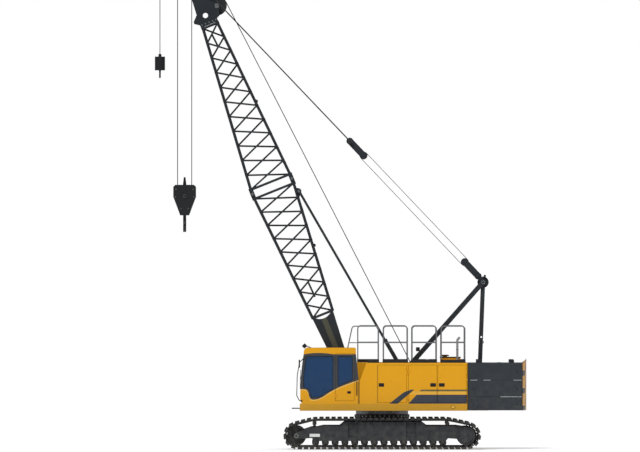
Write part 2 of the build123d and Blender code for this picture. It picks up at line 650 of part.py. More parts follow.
def exhaust_and_vent():
    """Exhaust pipe with its slanted outlet on the right hood, and the domed vent on the left."""
    x, y = EXHAUST
    pipe = tube([(x, y, HOOD_TOP), (x, y, EXHAUST_TOP), (EXHAUST_OUTLET[0], y, EXHAUST_OUTLET[1])],
                60, EXHAUST_R)
    flange = Pos(x, y, HOOD_TOP + 10) * Cylinder(EXHAUST_R + 26, 20)
    profile = Face(Wire.make_polygon([(0, 0, 0), (VENT_R, 0, 0), (VENT_R, 0, VENT_HEIGHT * 0.4),
                                      (VENT_R * 0.8, 0, VENT_HEIGHT * 0.75),
                                      (VENT_R * 0.4, 0, VENT_HEIGHT), (0, 0, VENT_HEIGHT)]))
    vent = Pos(*VENT, HOOD_TOP) * revolve(profile, Axis.Z)
    return Compound([joined([pipe, flange]), vent])


# Winch drums: node, x, z, y of the drum's ends, y of the shaft's ends
WINCHES = (
    ("winch_drum_main", -1456, 1870, (25, 435), (3, 475)),
    ("winch_drum_auxiliary", -1456, 1870, (-435, -25), (-475, -3)),
    ("winch_drum_boom", -2280, 1750, (-300, 300), (-350, 350)),
)
DRUM_R = 190.0
DRUM_FLANGE_R = 320.0
DRUM_SHAFT_R = 60.0
DRUM_FLANGE = 24.0


def winch_drum(x, z, drum_y, shaft_y):
    """Drum with two flanges, its laid rope and stub shafts."""
    shafts = cross_rod(x, z, shaft_y, DRUM_SHAFT_R)
    barrel = cross_rod(x, z, drum_y, DRUM_R + 70)
    flanges = [cross_rod(x, z, (drum_y[0], drum_y[0] + DRUM_FLANGE), DRUM_FLANGE_R),
               cross_rod(x, z, (drum_y[1] - DRUM_FLANGE, drum_y[1]), DRUM_FLANGE_R)]
    return joined([shafts, barrel, *flanges])


def winch_stand():
    """Plates that carry the shafts of the three drums."""
    foot = DECK_BOTTOM + FLOOR_PLATE
    parts = []
    for _, x, z, _, shaft_y in WINCHES[::2]:
        reach = max(shaft_y)
        ranges = [(reach - 20, reach + 5), (-reach - 5, 20 - reach)]
        if min(shaft_y) > 0:
            ranges.append((-13, 13))
        for y_range in ranges:
            plate = side_plate([(x - 240, foot), (x + 240, foot), (x + 110, z + 90), (x - 110, z + 90)],
                               y_range)
            parts.append(plate - cross_rod(x, z, (y_range[0] - 1, y_range[1] + 1),
                                           DRUM_SHAFT_R + SEAT_GAP))
    return Compound(parts)


def gantry_legs():
    """Front and rear legs, each a pair with a cross tie."""
    pairs = []
    for foot, y_range, width, tie_at in ((FRONT_LEG_FOOT, FRONT_LEG_Y, 135, (0.35, 0.8)),
                                         (REAR_LEG_FOOT, REAR_LEG_Y, 120, (0.45, 0.85))):
        leg = bar_plate(foot, GANTRY_HEAD, width, y_range, 90, 35.3)
        leg -= cross_rod(*GANTRY_HEAD, (y_range[0] - 1, y_range[1] + 1), 50.3)
        if foot == REAR_LEG_FOOT:
            x, z = REAR_LEG_COLLAR
            leg = joined([leg, box((x - 75, x + 75), (y_range[0] - 8, y_range[1] + 8), (z - 35, z + 35))])
            leg -= cross_rod(*REAR_LEG_HOLE, (y_range[0] - 1, y_range[1] + 1), 28)
        parts = both_sides(leg)
        for share in tie_at:
            x = foot[0] + (GANTRY_HEAD[0] - foot[0]) * share
            z = foot[1] + (GANTRY_HEAD[1] - foot[1]) * share
            parts.append(cross_rod(x, z, (-y_range[0] - 10, y_range[0] + 10), 45))
        pairs.append(joined(parts))
    return pairs


SHEAVE_WIDTH = 44.0


def sheave(x, z, y, radius, webbed=False):
    """Rope sheave with a groove, about Y; a webbed one has a deep rim and a hub."""
    half = SHEAVE_WIDTH / 2
    floor = radius - GROOVE_DEPTH
    groove = [(radius, -half), (floor, -5), (floor, 5), (radius, half)]
    if webbed:
        rim, hub, web = radius - 3.2 * GROOVE_DEPTH, 80, 10
        profile = [(0, -half), (hub, -half), (hub, -web), (rim, -web), (rim, -half), *groove,
                   (rim, half), (rim, web), (hub, web), (hub, half), (0, half)]
    else:
        profile = [(0, -half), *groove, (0, half)]
    face = Face(Wire.make_polygon([(r, y_, 0) for r, y_ in profile]))
    return Pos(x, y, z) * revolve(face, Axis.Y)


def sheave_pack(x, z, count, pitch, radius, shaft_r, shaft_half):
    """Row of sheaves fused on their shaft; the outer ones show their webs."""
    first = -(count - 1) / 2 * pitch
    row = [sheave(x, z, first + i * pitch, radius, i in (0, count - 1) and radius > 150)
           for i in range(count)]
    return joined([*row, cross_rod(x, z, (-shaft_half, shaft_half), shaft_r)])


def gantry_head():
    """Head shaft with its sheaves and the two plates that hold the lower spreader."""
    pack = sheave_pack(*GANTRY_HEAD, 3, 100, 165, 50, 480)
    plates = []
    for sign in (1, -1):
        plates.append(bar_plate(GANTRY_HEAD, SPREADER_PIN, 130, side((215, 245), sign), 75, 1.0))
    pin = cross_rod(*SPREADER_PIN, (-255, 255), 35)
    return joined([pack, *plates, pin])


FALLS_ANGLE = atan2(9.0, 8.55)


def falls_point(distance):
    """Point on the luffing line, a distance from the gantry's spreader pin."""
    return (SPREADER_PIN[0] + distance * cos(FALLS_ANGLE), SPREADER_PIN[1] + distance * sin(FALLS_ANGLE))


# Stations along the luffing line, from the gantry's spreader pin
LOWER_SHEAVE_AT = 560.0
UPPER_SHEAVE_AT = 4825.0
UPPER_BAR_AT = 5400.0
SPREADER_Y = (175.0, 200.0)
SPREADER_SHEAVE_R = 115.0


def spreader(start, end, bore_r, count, shaft_at):
    """Block of two side plates on a pin at one end and a row of sheaves at the other."""
    plates = []
    for sign in (1, -1):
        plates.append(bar_plate(falls_point(start), falls_point(end), 190, side(SPREADER_Y, sign),
                                100, bore_r))
    pack = sheave_pack(*falls_point(shaft_at), count, 78, SPREADER_SHEAVE_R, 40, SPREADER_Y[1] + 10)
    middle = falls_point((start + end) / 2)
    tie = cross_rod(*middle, (-SPREADER_Y[0] - 5, SPREADER_Y[0] + 5), 25)
    return joined([*plates, pack, tie])


def suspension(pendant_y, pendant_end):
    """Lower spreader, luffing falls, upper spreader with its bar, and the pendants."""
    lower = spreader(0, LOWER_SHEAVE_AT, 35.5, 4, LOWER_SHEAVE_AT)
    upper = spreader(UPPER_BAR_AT, UPPER_SHEAVE_AT, 35.3, 4, UPPER_SHEAVE_AT)
    bar = cross_rod(*falls_point(UPPER_BAR_AT), (-pendant_y - 45, pendant_y + 45), 35)
    falls = []
    offset = SPREADER_SHEAVE_R - GROOVE_DEPTH + FALL_ROPE_R + SEAT_GAP
    nx, nz = -sin(FALLS_ANGLE) * offset, cos(FALLS_ANGLE) * offset
    for y in (-117, -39, 39, 117):
        for s in (1, -1):
            (x0, z0), (x1, z1) = falls_point(LOWER_SHEAVE_AT), falls_point(UPPER_SHEAVE_AT)
            falls.append(rod((x0 + s * nx, y, z0 + s * nz), (x1 + s * nx, y, z1 + s * nz), FALL_ROPE_R))
    pendants = []
    for sign in (1, -1):
        y = sign * pendant_y
        ends = [falls_point(UPPER_BAR_AT), pendant_end]
        run = Vector(pendant_end[0] - ends[0][0], 0, pendant_end[1] - ends[0][1]).normalized()
        start = (ends[0][0] + run.X * 60, y, ends[0][1] + run.Z * 60)
        stop = (ends[1][0] - run.X * 60, y, ends[1][1] - run.Z * 60)
        eyes = [cross_rod(*p, (y - 22, y + 22), 75) for p in ends]
        pendant = joined([rod(start, stop, 17), *eyes])
        pendant -= cross_rod(*ends[0], (y - 23, y + 23), 35.3)
        pendant -= cross_rod(*ends[1], (y - 23, y + 23), 40)
        pendants.append(pendant)
    return lower, Compound(falls), joined([upper, bar]), Compound(pendants)


def backstops():
    """Sleeve on the deck and rod that slides in it up to the boom, one pair on each side."""
    run = Vector(BACKSTOP_TOP[0] - BACKSTOP_FOOT[0], 0, BACKSTOP_TOP[1] - BACKSTOP_FOOT[1])
    way = run.normalized()

    def at(distance, y):
        return (BACKSTOP_FOOT[0] + way.X * distance, y, BACKSTOP_FOOT[1] + way.Z * distance)

    sleeves, rods = [], []
    for sign in (1, -1):
        y = sign * BACKSTOP_Y
        sleeve = joined([rod(at(45, y), at(1480, y), 58), cross_rod(*BACKSTOP_FOOT, (y - 30, y + 30), 60)])
        sleeve -= rod(at(130, y), at(1481, y), 37)
        sleeve -= cross_rod(*BACKSTOP_FOOT, (y - 31, y + 31), 25.3)
        sleeves.append(sleeve)
        piston = joined([rod(at(500, y), at(run.length - 50, y), 36),
                         rod(at(480, y), at(520, y), 36.8),
                         cross_rod(*BACKSTOP_TOP, (y - 25, y + 25), 70)])
        piston -= cross_rod(*BACKSTOP_TOP, (y - 26, y + 26), 40)
        rods.append(piston)
    return Compound(sleeves), Compound(rods)


# The boom is drawn along +X with its back side up, then raised about its foot pin.
RAISE = Location((FOOT_PIN[0], 0, FOOT_PIN[1]), (0, -BOOM_ANGLE, 0))


def raised(shapes):
    """Shapes drawn in the boom's frame, each set in the crane's frame."""
    return [RAISE * shape for shape in shapes]


def boom_point(u, h):
    """Crane (x, z) of a point at u along the boom and h towards its back."""
    a = radians(BOOM_ANGLE)
    return (FOOT_PIN[0] + u * cos(a) - h * sin(a), FOOT_PIN[1] + u * sin(a) + h * cos(a))


# Heights of the front and the back chord at the section joint
JOINT_H = (-580.0, 645.0)

# Chord stations: u, half spread in y, h of the front chord, h of the back chord
LOWER_STATIONS = ((2300, CHORD_Y, -303, 318), (LOWER_END - 20, CHORD_Y, *JOINT_H))
UPPER_STATIONS = ((UPPER_START + 20, CHORD_Y, *JOINT_H), (UPPER_END - 20, HEAD_CHORD_Y, -120, 333))


def chord_points(stations, share, front, sign):
    """Point on a chord at a share of its length."""
    (u0, y0, f0, b0), (u1, y1, f1, b1) = stations
    h0, h1 = (f0, f1) if front else (b0, b1)
    return (u0 + (u1 - u0) * share, sign * (y0 + (y1 - y0) * share), h0 + (h1 - h0) * share)


def lattice(stations, bays):
    """Four chords with zigzag lacings on the four faces."""
    tubes = []
    for front in (True, False):
        for sign in (1, -1):
            tubes.append(rod(chord_points(stations, 0, front, sign),
                             chord_points(stations, 1, front, sign), CHORD_R))
    for bay in range(bays):
        start, end = bay / bays, (bay + 1) / bays
        flip = bay % 2 == 0
        for sign in (1, -1):
            # Side faces: the near and the far zigzag run in opposite phase
            low_front = flip if sign > 0 else not flip
            tubes.append(rod(chord_points(stations, start, low_front, sign),
                             chord_points(stations, end, not low_front, sign), LACING_R))
        for front in (True, False):
            low = 1 if flip == front else -1
            tubes.append(rod(chord_points(stations, start, front, low),
                             chord_points(stations, end, front, -low), LACING_R))
    for share in (0, 1):
        for front in (True, False):
            tubes.append(rod(chord_points(stations, share, front, 1),
                             chord_points(stations, share, front, -1), LACING_R + 8))
        for sign in (1, -1):
            tubes.append(rod(chord_points(stations, share, True, sign),
                             chord_points(stations, share, False, sign), LACING_R + 8))
    return tubes


JOINT_U = (LOWER_END + UPPER_START) / 2
JOINT_PIN_R = 28.0
JOINT_LUG_R = 62.0


def joint_lugs(station, offsets):
    """Height and y range of each lug at a section joint, for offsets from the chord's middle."""
    _, y, front, back = station
    return [(h, side((y + low, y + high), sign))
            for h in (front, back) for sign in (1, -1) for low, high in offsets]


def joint_lug(root_u, h, y_range):
    """Lug plate from a chord's end to the joint pin, with a round end."""
    plate = side_plate([(root_u, h - JOINT_LUG_R), (JOINT_U, h - JOINT_LUG_R),
                        (JOINT_U, h + JOINT_LUG_R), (root_u, h + JOINT_LUG_R)], y_range)
    return joined([plate, cross_rod(JOINT_U, h, y_range, JOINT_LUG_R)])


def boom_lower():
    """Foot section: two side plates from the foot pins, then the lattice."""
    tubes = lattice(LOWER_STATIONS, 9)
    plates = []
    half = FOOT_PLATE / 2
    for sign in (1, -1):
        y_range = side((FOOT_PLATE_Y - half, FOOT_PLATE_Y + half), sign)
        outline = [(-60, -140), (150, -150), (FOOT_PLATE_END, -329), (FOOT_PLATE_END, 339),
                   (150, 150), (-60, 140)]
        plate = joined([side_plate(outline, y_range), cross_rod(0, 0, y_range, 150)])
        plate -= cross_rod(FOOT_PLATE_THROAT + FOOT_PLATE_THROAT_R, 5, (y_range[0] - 1, y_range[1] + 1),
                           FOOT_PLATE_THROAT_R)
        plate -= cross_rod(0, 0, (y_range[0] - 1, y_range[1] + 1), FOOT_PIN_R + 0.1)
        plates.append(plate)
    tie = rod((FOOT_TIE_U, -FOOT_PLATE_Y, 0), (FOOT_TIE_U, FOOT_PLATE_Y, 0), 60)
    lugs = []
    for h, y_range in joint_lugs(LOWER_STATIONS[1], ((-20, 20),)):
        lug = joint_lug(LOWER_END - 60, h, y_range)
        lugs.append(lug - cross_rod(JOINT_U, h, (y_range[0] - 1, y_range[1] + 1), JOINT_PIN_R + SEAT_GAP))
    a = radians(BOOM_ANGLE)
    dx, dz = BACKSTOP_TOP[0] - FOOT_PIN[0], BACKSTOP_TOP[1] - FOOT_PIN[1]
    stop_u, stop_h = dx * cos(a) + dz * sin(a), -dx * sin(a) + dz * cos(a)
    for sign in (1, -1):
        y_range = side((CHORD_Y - 15, CHORD_Y + 30), sign)
        lug = side_plate([(stop_u - 230, 590), (stop_u + 150, 620), (stop_u + 60, stop_h + 50),
                          (stop_u - 60, stop_h + 50)], y_range)
        boss = cross_rod(stop_u, stop_h, side((CHORD_Y - 15, BACKSTOP_Y - 42), sign), 42)
        lugs.append(joined([lug, boss]))
    return joined(raised([*tubes, *plates, tie, *lugs]))


def boom_upper():
    """Tapered lattice section that ends at the boom head."""
    frame = joined(raised(lattice(UPPER_STATIONS, 11)))
    lugs = []
    ears = ((20 + SEAT_GAP, 58), (-58, -20 - SEAT_GAP))
    for h, y_range in joint_lugs(UPPER_STATIONS[0], ears):
        lugs.append(joint_lug(UPPER_START + 60, h, y_range))
    for h, y_range in joint_lugs(UPPER_STATIONS[0], ((-64, 64),)):
        lugs.append(cross_rod(JOINT_U, h, y_range, JOINT_PIN_R))
    for h, y_range in joint_lugs(UPPER_STATIONS[1], ((-30, 30),)):
        lugs.append(side_plate([(UPPER_END - 50, h - 50), (HEAD_START, h - 50), (HEAD_START, h + 50),
                                (UPPER_END - 50, h + 50)], y_range))
    return joined([frame, *raised(lugs)])


def boom_head():
    """Two side plates with the end frame, the sheave shafts' bosses and the front bracket."""
    y_in = HEAD_CHORD_Y - HEAD_PLATE / 2
    u0 = HEAD_START
    outline = [(u0, -165), (11400, -170), (11500, -308), (11560, -300), (11707, -150), (12170, -110),
               (12560, -230), (12700, -255), (12810, -220), (12850, -110), (12960, 10), (12930, 70),
               (12500, 300), (12150, 540), (12000, 540), (11900, 500), (11820, 610), (11690, 610),
               (11600, 500), (11464, 470), (11413, 370), (u0, 370)]
    parts = []
    for sign in (1, -1):
        plate = side_plate(outline, side((y_in, y_in + HEAD_PLATE), sign))
        plate -= cross_rod(11608, 85, (sign * y_in - 60, sign * y_in + 60), 77)
        parts.append(plate)
        arm = side_plate([(12610, -60), (12640, -200), (12760, -220), (13260, -500), (13360, -480),
                          (13360, -370), (12990, 20), (12930, 50), (12870, 10)], side((92, 108), sign))
        parts.append(arm)
        boss = cross_rod(*PENDANT_EYE, side((y_in, 345 - 28), sign), 60)
        parts.append(boss)
    end_frame = box((u0, u0 + 30), (-y_in - 40, y_in + 40), (-145, 375))
    parts.append(end_frame - box((u0 - 1, u0 + 31), (-y_in + 50, y_in - 50), (-70, 290)))
    parts.append(rod((12930, -y_in - 5, 10), (12930, y_in + 5, 10), 35))
    parts.append(rod((12300, -y_in - 5, 230), (12300, y_in + 5, 230), 50))
    head = joined(parts)
    for place in (TIP, DEFLECTOR):
        head -= cross_rod(*place, (-400, 400), 45.3)
    head -= cross_rod(*AUX_SHEAVE, (-200, 200), 30.3)
    return RAISE * head


def boom_sheaves():
    """Tip sheaves, deflector sheaves and the front sheave, each on its shaft."""
    tip = sheave_pack(*TIP, 4, 100, TIP_SHEAVE_R, 45, HEAD_CHORD_Y + 30)
    deflector = sheave_pack(*DEFLECTOR, 2, 110, 285, 45, HEAD_CHORD_Y + 30)
    front = joined([sheave(*AUX_SHEAVE, 0, TIP_SHEAVE_R, True), cross_rod(*AUX_SHEAVE, (-130, 130), 30)])
    return RAISE * tip, RAISE * deflector, RAISE * front


def main_hook(x, tip_z):
    """Falls, block with its sheaves, and the hook that swivels under it."""
    rope_x = TIP_SHEAVE_R - GROOVE_DEPTH + ROPE_R + SEAT_GAP
    falls = []
    for y in (-150, -50, 50, 150):
        for s in (1, -1):
            falls.append(rod((x + s * rope_x, y * 0.9, HOOK_BLOCK_TOP - 330), (x + s * rope_x, y, tip_z),
                             ROPE_R))
    top = HOOK_BLOCK_TOP
    outline = [(x - 329, top - 351), (x - 129, top - 887), (x + 129, top - 887), (x + 329, top - 351),
               (x + 329, top - 60), (x + 270, top), (x - 270, top), (x - 329, top - 60)]
    cheeks = [side_plate(outline, side((195, 225), s)) for s in (1, -1)]
    pack = sheave_pack(x, top - 330, 4, 90, TIP_SHEAVE_R, 45, 240)
    trunnion = box((x - 90, x + 90), (-230, 230), (top - 860, top - 740))
    ear = side_plate([(x - 60, top - 80), (x + 60, top - 80), (x + 25, top + 223), (x - 25, top + 223)],
                     (-20, 20))
    ear_bar = box((x - 40, x + 40), (-230, 230), (top - 90, top - 40))
    block = joined([*cheeks, pack, trunnion, ear, ear_bar])
    block -= rod((x, 0, top - 900), (x, 0, top - 700), 45.3)
    bowl_z = top - 1174
    ring = rod((x - 45, 0, bowl_z), (x + 45, 0, bowl_z), 195) - rod((x - 46, 0, bowl_z), (x + 46, 0, bowl_z), 90)
    ring -= box((x - 50, x + 50), (48, 250), (bowl_z, bowl_z + 250))
    shank = rod((x, 0, bowl_z + 120), (x, 0, top - 732), 45)
    nut = rod((x, 0, top - 739.7), (x, 0, top - 690), 80)
    hook = joined([ring, shank, nut])
    return Compound(falls), block, hook


def aux_hook(x, sheave_z):
    """Rope, weight and small hook under the front sheave."""
    rope = rod((x, 0, AUX_BALL_TOP + 60), (x, 0, sheave_z), ROPE_R)
    top = AUX_BALL_TOP
    weight = rod((x, 0, top - 400), (x, 0, top), 148)
    socket = joined([rod((x, 0, top - 5), (x, 0, top + 75), 40)]) - rod((x, 0, top + 59), (x, 0, top + 80), 11.3)
    weight -= rod((x, 0, top - 401), (x, 0, top - 300), 28.3)
    bowl_z = top - 520
    ring = rod((x - 25, 0, bowl_z), (x + 25, 0, bowl_z), 100) - rod((x - 26, 0, bowl_z), (x + 26, 0, bowl_z), 48)
    ring -= box((x - 30, x + 30), (26, 140), (bowl_z, bowl_z + 140))
    hook = joined([ring, rod((x, 0, bowl_z + 60), (x, 0, top - 301), 28)])
    return rope, joined([weight, socket]), hook


def counterweight(layer):
    """One slab, open at the front round the frame's tail, with a crowned rear face."""
    low, high = WEIGHT_Z[layer], WEIGHT_Z[layer + 1]
    notch_x, notch_y = FRAME_TAIL_X - SEAT_GAP, BAY_HALF_WIDTH + SHEET + SEAT_GAP
    with BuildSketch() as sketch:
        with BuildLine():
            Polyline((WEIGHT_REAR_X, WEIGHT_HALF_WIDTH), (WEIGHT_FRONT_X, WEIGHT_HALF_WIDTH),
                     (WEIGHT_FRONT_X, notch_y), (notch_x, notch_y), (notch_x, -notch_y),
                     (WEIGHT_FRONT_X, -notch_y), (WEIGHT_FRONT_X, -WEIGHT_HALF_WIDTH),
                     (WEIGHT_REAR_X, -WEIGHT_HALF_WIDTH))
            ThreePointArc((WEIGHT_REAR_X, -WEIGHT_HALF_WIDTH), (TAIL_X, 0), (WEIGHT_REAR_X, WEIGHT_HALF_WIDTH))
        make_face()
    return Pos(0, 0, low) * extrude(sketch.sketch, amount=high - low)


def hazard_board():
    """Thin striped board on the crowned rear face, with a raised middle."""
    crown = WEIGHT_REAR_X - TAIL_X
    tail_r = (WEIGHT_HALF_WIDTH ** 2 + crown ** 2) / (2 * crown) + SEAT_GAP
    height = BOARD_TOP - WEIGHT_Z[0]
    ring = Cylinder(tail_r + BOARD_THICKNESS, height) - Cylinder(tail_r, height + 2)
    board = Pos(TAIL_X - SEAT_GAP + tail_r, 0, WEIGHT_Z[0] + height / 2) * ring
    board &= box((TAIL_X - 50, WEIGHT_REAR_X + 50), (-BOARD_HALF_WIDTH, BOARD_HALF_WIDTH), (0, 3000))
    for sign in (1, -1):
        wedge = Face(Wire.make_polygon([(TAIL_X - 100, sign * 10, BOARD_TOP),
                                        (TAIL_X - 100, sign * WEIGHT_HALF_WIDTH, WEIGHT_Z[-1]),
                                        (TAIL_X - 100, sign * WEIGHT_HALF_WIDTH, BOARD_TOP + 50),
                                        (TAIL_X - 100, sign * 10, BOARD_TOP + 50)]))
        board -= extrude(wedge, amount=400, dir=(1, 0, 0))
    return board


# Guard rails: side, x of the front post, x of the rear post
RAILS = ((-1, 700, 108), (1, -40, -731), (1, -867, -1569), (1, -1711, -2393), (-1, -40, -731),
         (-1, -867, -1569), (-1, -1711, -2393))
RAIL_R = 17.0
RAIL_BEND = 90.0
RAIL_TOP = 3560.0
RAIL_MID = 3083.0
TOE_BOARD = 90.0
RAIL_Y = DECK_HALF_WIDTH - 40

# Rail from the cab's roof to the left hood: x of its foot, of its bend and of its rear post
ROOF_RAIL = (995, 861, 108)


def rail_frame(path, mid_x, board_x, y):
    """Bent tube with its mid bar and toe board."""
    frame = tube([(x, y, z) for x, z in path], RAIL_BEND, RAIL_R)
    mid = rod((mid_x[0], y, RAIL_MID), (mid_x[1], y, RAIL_MID), RAIL_R - 3)
    board = box(board_x, (y - 4, y + 4), (HOOD_TOP, HOOD_TOP + TOE_BOARD))
    return joined([frame, mid, board])


def guard_rails():
    """Tubular rails along the outer edge of both hoods and up to the cab's roof."""
    parts = []
    for sign, front, rear in RAILS:
        path = [(front, HOOD_TOP), (front, RAIL_TOP), (rear, RAIL_TOP), (rear, HOOD_TOP)]
        parts.append(rail_frame(path, (front, rear), (front + 20, rear - 20), sign * RAIL_Y))
    foot, bend, rear = ROOF_RAIL
    start = CAB_ROOF_Z + 4
    path = [(foot, start), (bend, RAIL_TOP), (rear, RAIL_TOP), (rear, HOOD_TOP)]
    slope_x = foot + (bend - foot) * (RAIL_MID - start) / (RAIL_TOP - start)
    frame = rail_frame(path, (slope_x, rear), (430, rear - 20), RAIL_Y)
    foot_plate = box((foot - 30, foot + 30), (RAIL_Y - 30, RAIL_Y + 30), (CAB_ROOF_Z, CAB_ROOF_Z + 8))
    parts += [joined([frame, foot_plate])]
    return Compound(parts)


def engine_block():
    """Engine as one plain block beside the right hood's outer wall."""
    outer_y = DECK_HALF_WIDTH - HOOD_WALL - ENGINE_SIDE_GAP
    return box(ENGINE_X, side((ENGINE_INNER_Y, outer_y), -1), (DECK_TOP, ENGINE_TOP))


def build():
    """Write every sub-part."""
    os.makedirs("parts", exist_ok=True)
    left_right(track(), "track")
    left_right(track_frame(), "track_frame")
    left_right(rollers(), "rollers")
    left_right(idler(), "idler")
    left_right(final_drive(), "final_drive")
    save(carbody(), "carbody")
    lower_ring, upper_ring = slew_rings()
    save(lower_ring, "slew_ring_lower")
    save(upper_ring, "slew_ring_upper")
    save(revolving_frame(), "revolving_frame")
    save(cab_shell(), "cab_shell")
    save(cab_glass(), "cab_glass")
    save(cab_door_glass(), "cab_door_glass")
    save(cab_fittings(), "cab_fittings")
    save(operator_seat(), "operator_seat")
    save(hood(1, 655), "hood_left")
    save(hood(-1, 1000), "hood_right")
    save(air_cleaner(), "air_cleaner")
    save(exhaust_and_vent(), "exhaust_and_vent")
    save(engine_block(), "engine_block")
    for door in DOORS:
        save(door_panel(door), door[0])
    for node, x, z, drum_y, shaft_y in WINCHES:
        save(winch_drum(x, z, drum_y, shaft_y), node)
    save(winch_stand(), "winch_stand")
    front_legs, rear_legs = gantry_legs()
    save(front_legs, "gantry_front_legs")
    save(rear_legs, "gantry_rear_legs")
    save(gantry_head(), "gantry_head")
    for layer, word in enumerate(("bottom", "middle", "top")):
        save(counterweight(layer), f"counterweight_{word}")
    save(hazard_board(), "hazard_board")
    save(guard_rails(), "guard_rails")
    save(boom_lower(), "boom_lower")
    save(boom_upper(), "boom_upper")
    save(boom_head(), "boom_head")
    for shape, node in zip(boom_sheaves(), ("tip_sheaves", "deflector_sheaves", "front_sheave")):
        save(shape, node)
    parts = suspension(345, boom_point(*PENDANT_EYE))
    for shape, node in zip(parts, ("lower_spreader", "luffing_falls", "upper_spreader", "pendants")):
        save(shape, node)
    sleeves, rods = backstops()
    save(sleeves, "backstop_sleeves")
    save(rods, "backstop_rods")
    tip_x, tip_z = boom_point(*TIP)
    falls, block, hook = main_hook(tip_x, tip_z)
    save(falls, "main_falls")
    save(block, "main_hook_block")
    save(hook, "main_hook")
    front_x, front_z = boom_point(*AUX_SHEAVE)
    rope_x = front_x + TIP_SHEAVE_R - GROOVE_DEPTH + ROPE_R + SEAT_GAP
    rope, weight, small_hook = aux_hook(rope_x, front_z)
    save(rope, "auxiliary_rope")
    save(weight, "auxiliary_weight")
    save(small_hook, "auxiliary_hook")


build()
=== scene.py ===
"""Looks of a crawler crane with a lattice boom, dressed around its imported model, in metres."""
import json
import logging
import math
from dataclasses import dataclass, replace
from enum import Enum
from functools import cache

import bpy
from mathutils import Matrix, Vector

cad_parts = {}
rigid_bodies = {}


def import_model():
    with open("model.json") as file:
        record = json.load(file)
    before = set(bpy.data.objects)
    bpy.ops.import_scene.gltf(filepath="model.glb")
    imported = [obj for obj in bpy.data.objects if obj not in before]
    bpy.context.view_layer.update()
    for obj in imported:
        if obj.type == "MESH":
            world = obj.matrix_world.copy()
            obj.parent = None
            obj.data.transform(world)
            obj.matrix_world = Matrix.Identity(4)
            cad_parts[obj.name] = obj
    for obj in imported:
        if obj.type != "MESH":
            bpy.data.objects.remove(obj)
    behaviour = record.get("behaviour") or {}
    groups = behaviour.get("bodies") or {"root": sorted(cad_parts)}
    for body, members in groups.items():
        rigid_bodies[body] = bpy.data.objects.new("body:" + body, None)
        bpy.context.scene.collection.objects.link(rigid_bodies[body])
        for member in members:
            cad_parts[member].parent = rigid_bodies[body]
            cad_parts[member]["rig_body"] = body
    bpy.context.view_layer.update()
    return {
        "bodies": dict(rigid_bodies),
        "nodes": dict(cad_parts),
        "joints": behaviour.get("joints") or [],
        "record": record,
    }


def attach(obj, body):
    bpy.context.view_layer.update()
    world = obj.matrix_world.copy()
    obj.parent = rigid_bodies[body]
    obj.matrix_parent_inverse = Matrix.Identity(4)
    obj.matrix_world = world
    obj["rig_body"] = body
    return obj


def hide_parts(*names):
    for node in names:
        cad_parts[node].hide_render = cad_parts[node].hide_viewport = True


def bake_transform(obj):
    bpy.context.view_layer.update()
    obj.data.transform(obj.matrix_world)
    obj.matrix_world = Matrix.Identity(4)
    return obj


Point = tuple[float, float, float] | Vector
Flat = tuple[float, float]
Colour = tuple[float, float, float]
Mesh = bpy.types.Object
Node = bpy.types.Node
Socket = bpy.types.NodeSocket
Tree = bpy.types.NodeTree
Material = bpy.types.Material

log = logging.getLogger("crane")


class Side(Enum):
    """Side of the crane, as the sign of its y."""

    LEFT = 1
    RIGHT = -1

    @property
    def word(self) -> str:
        """Plain word for the side."""
        return self.name.lower()


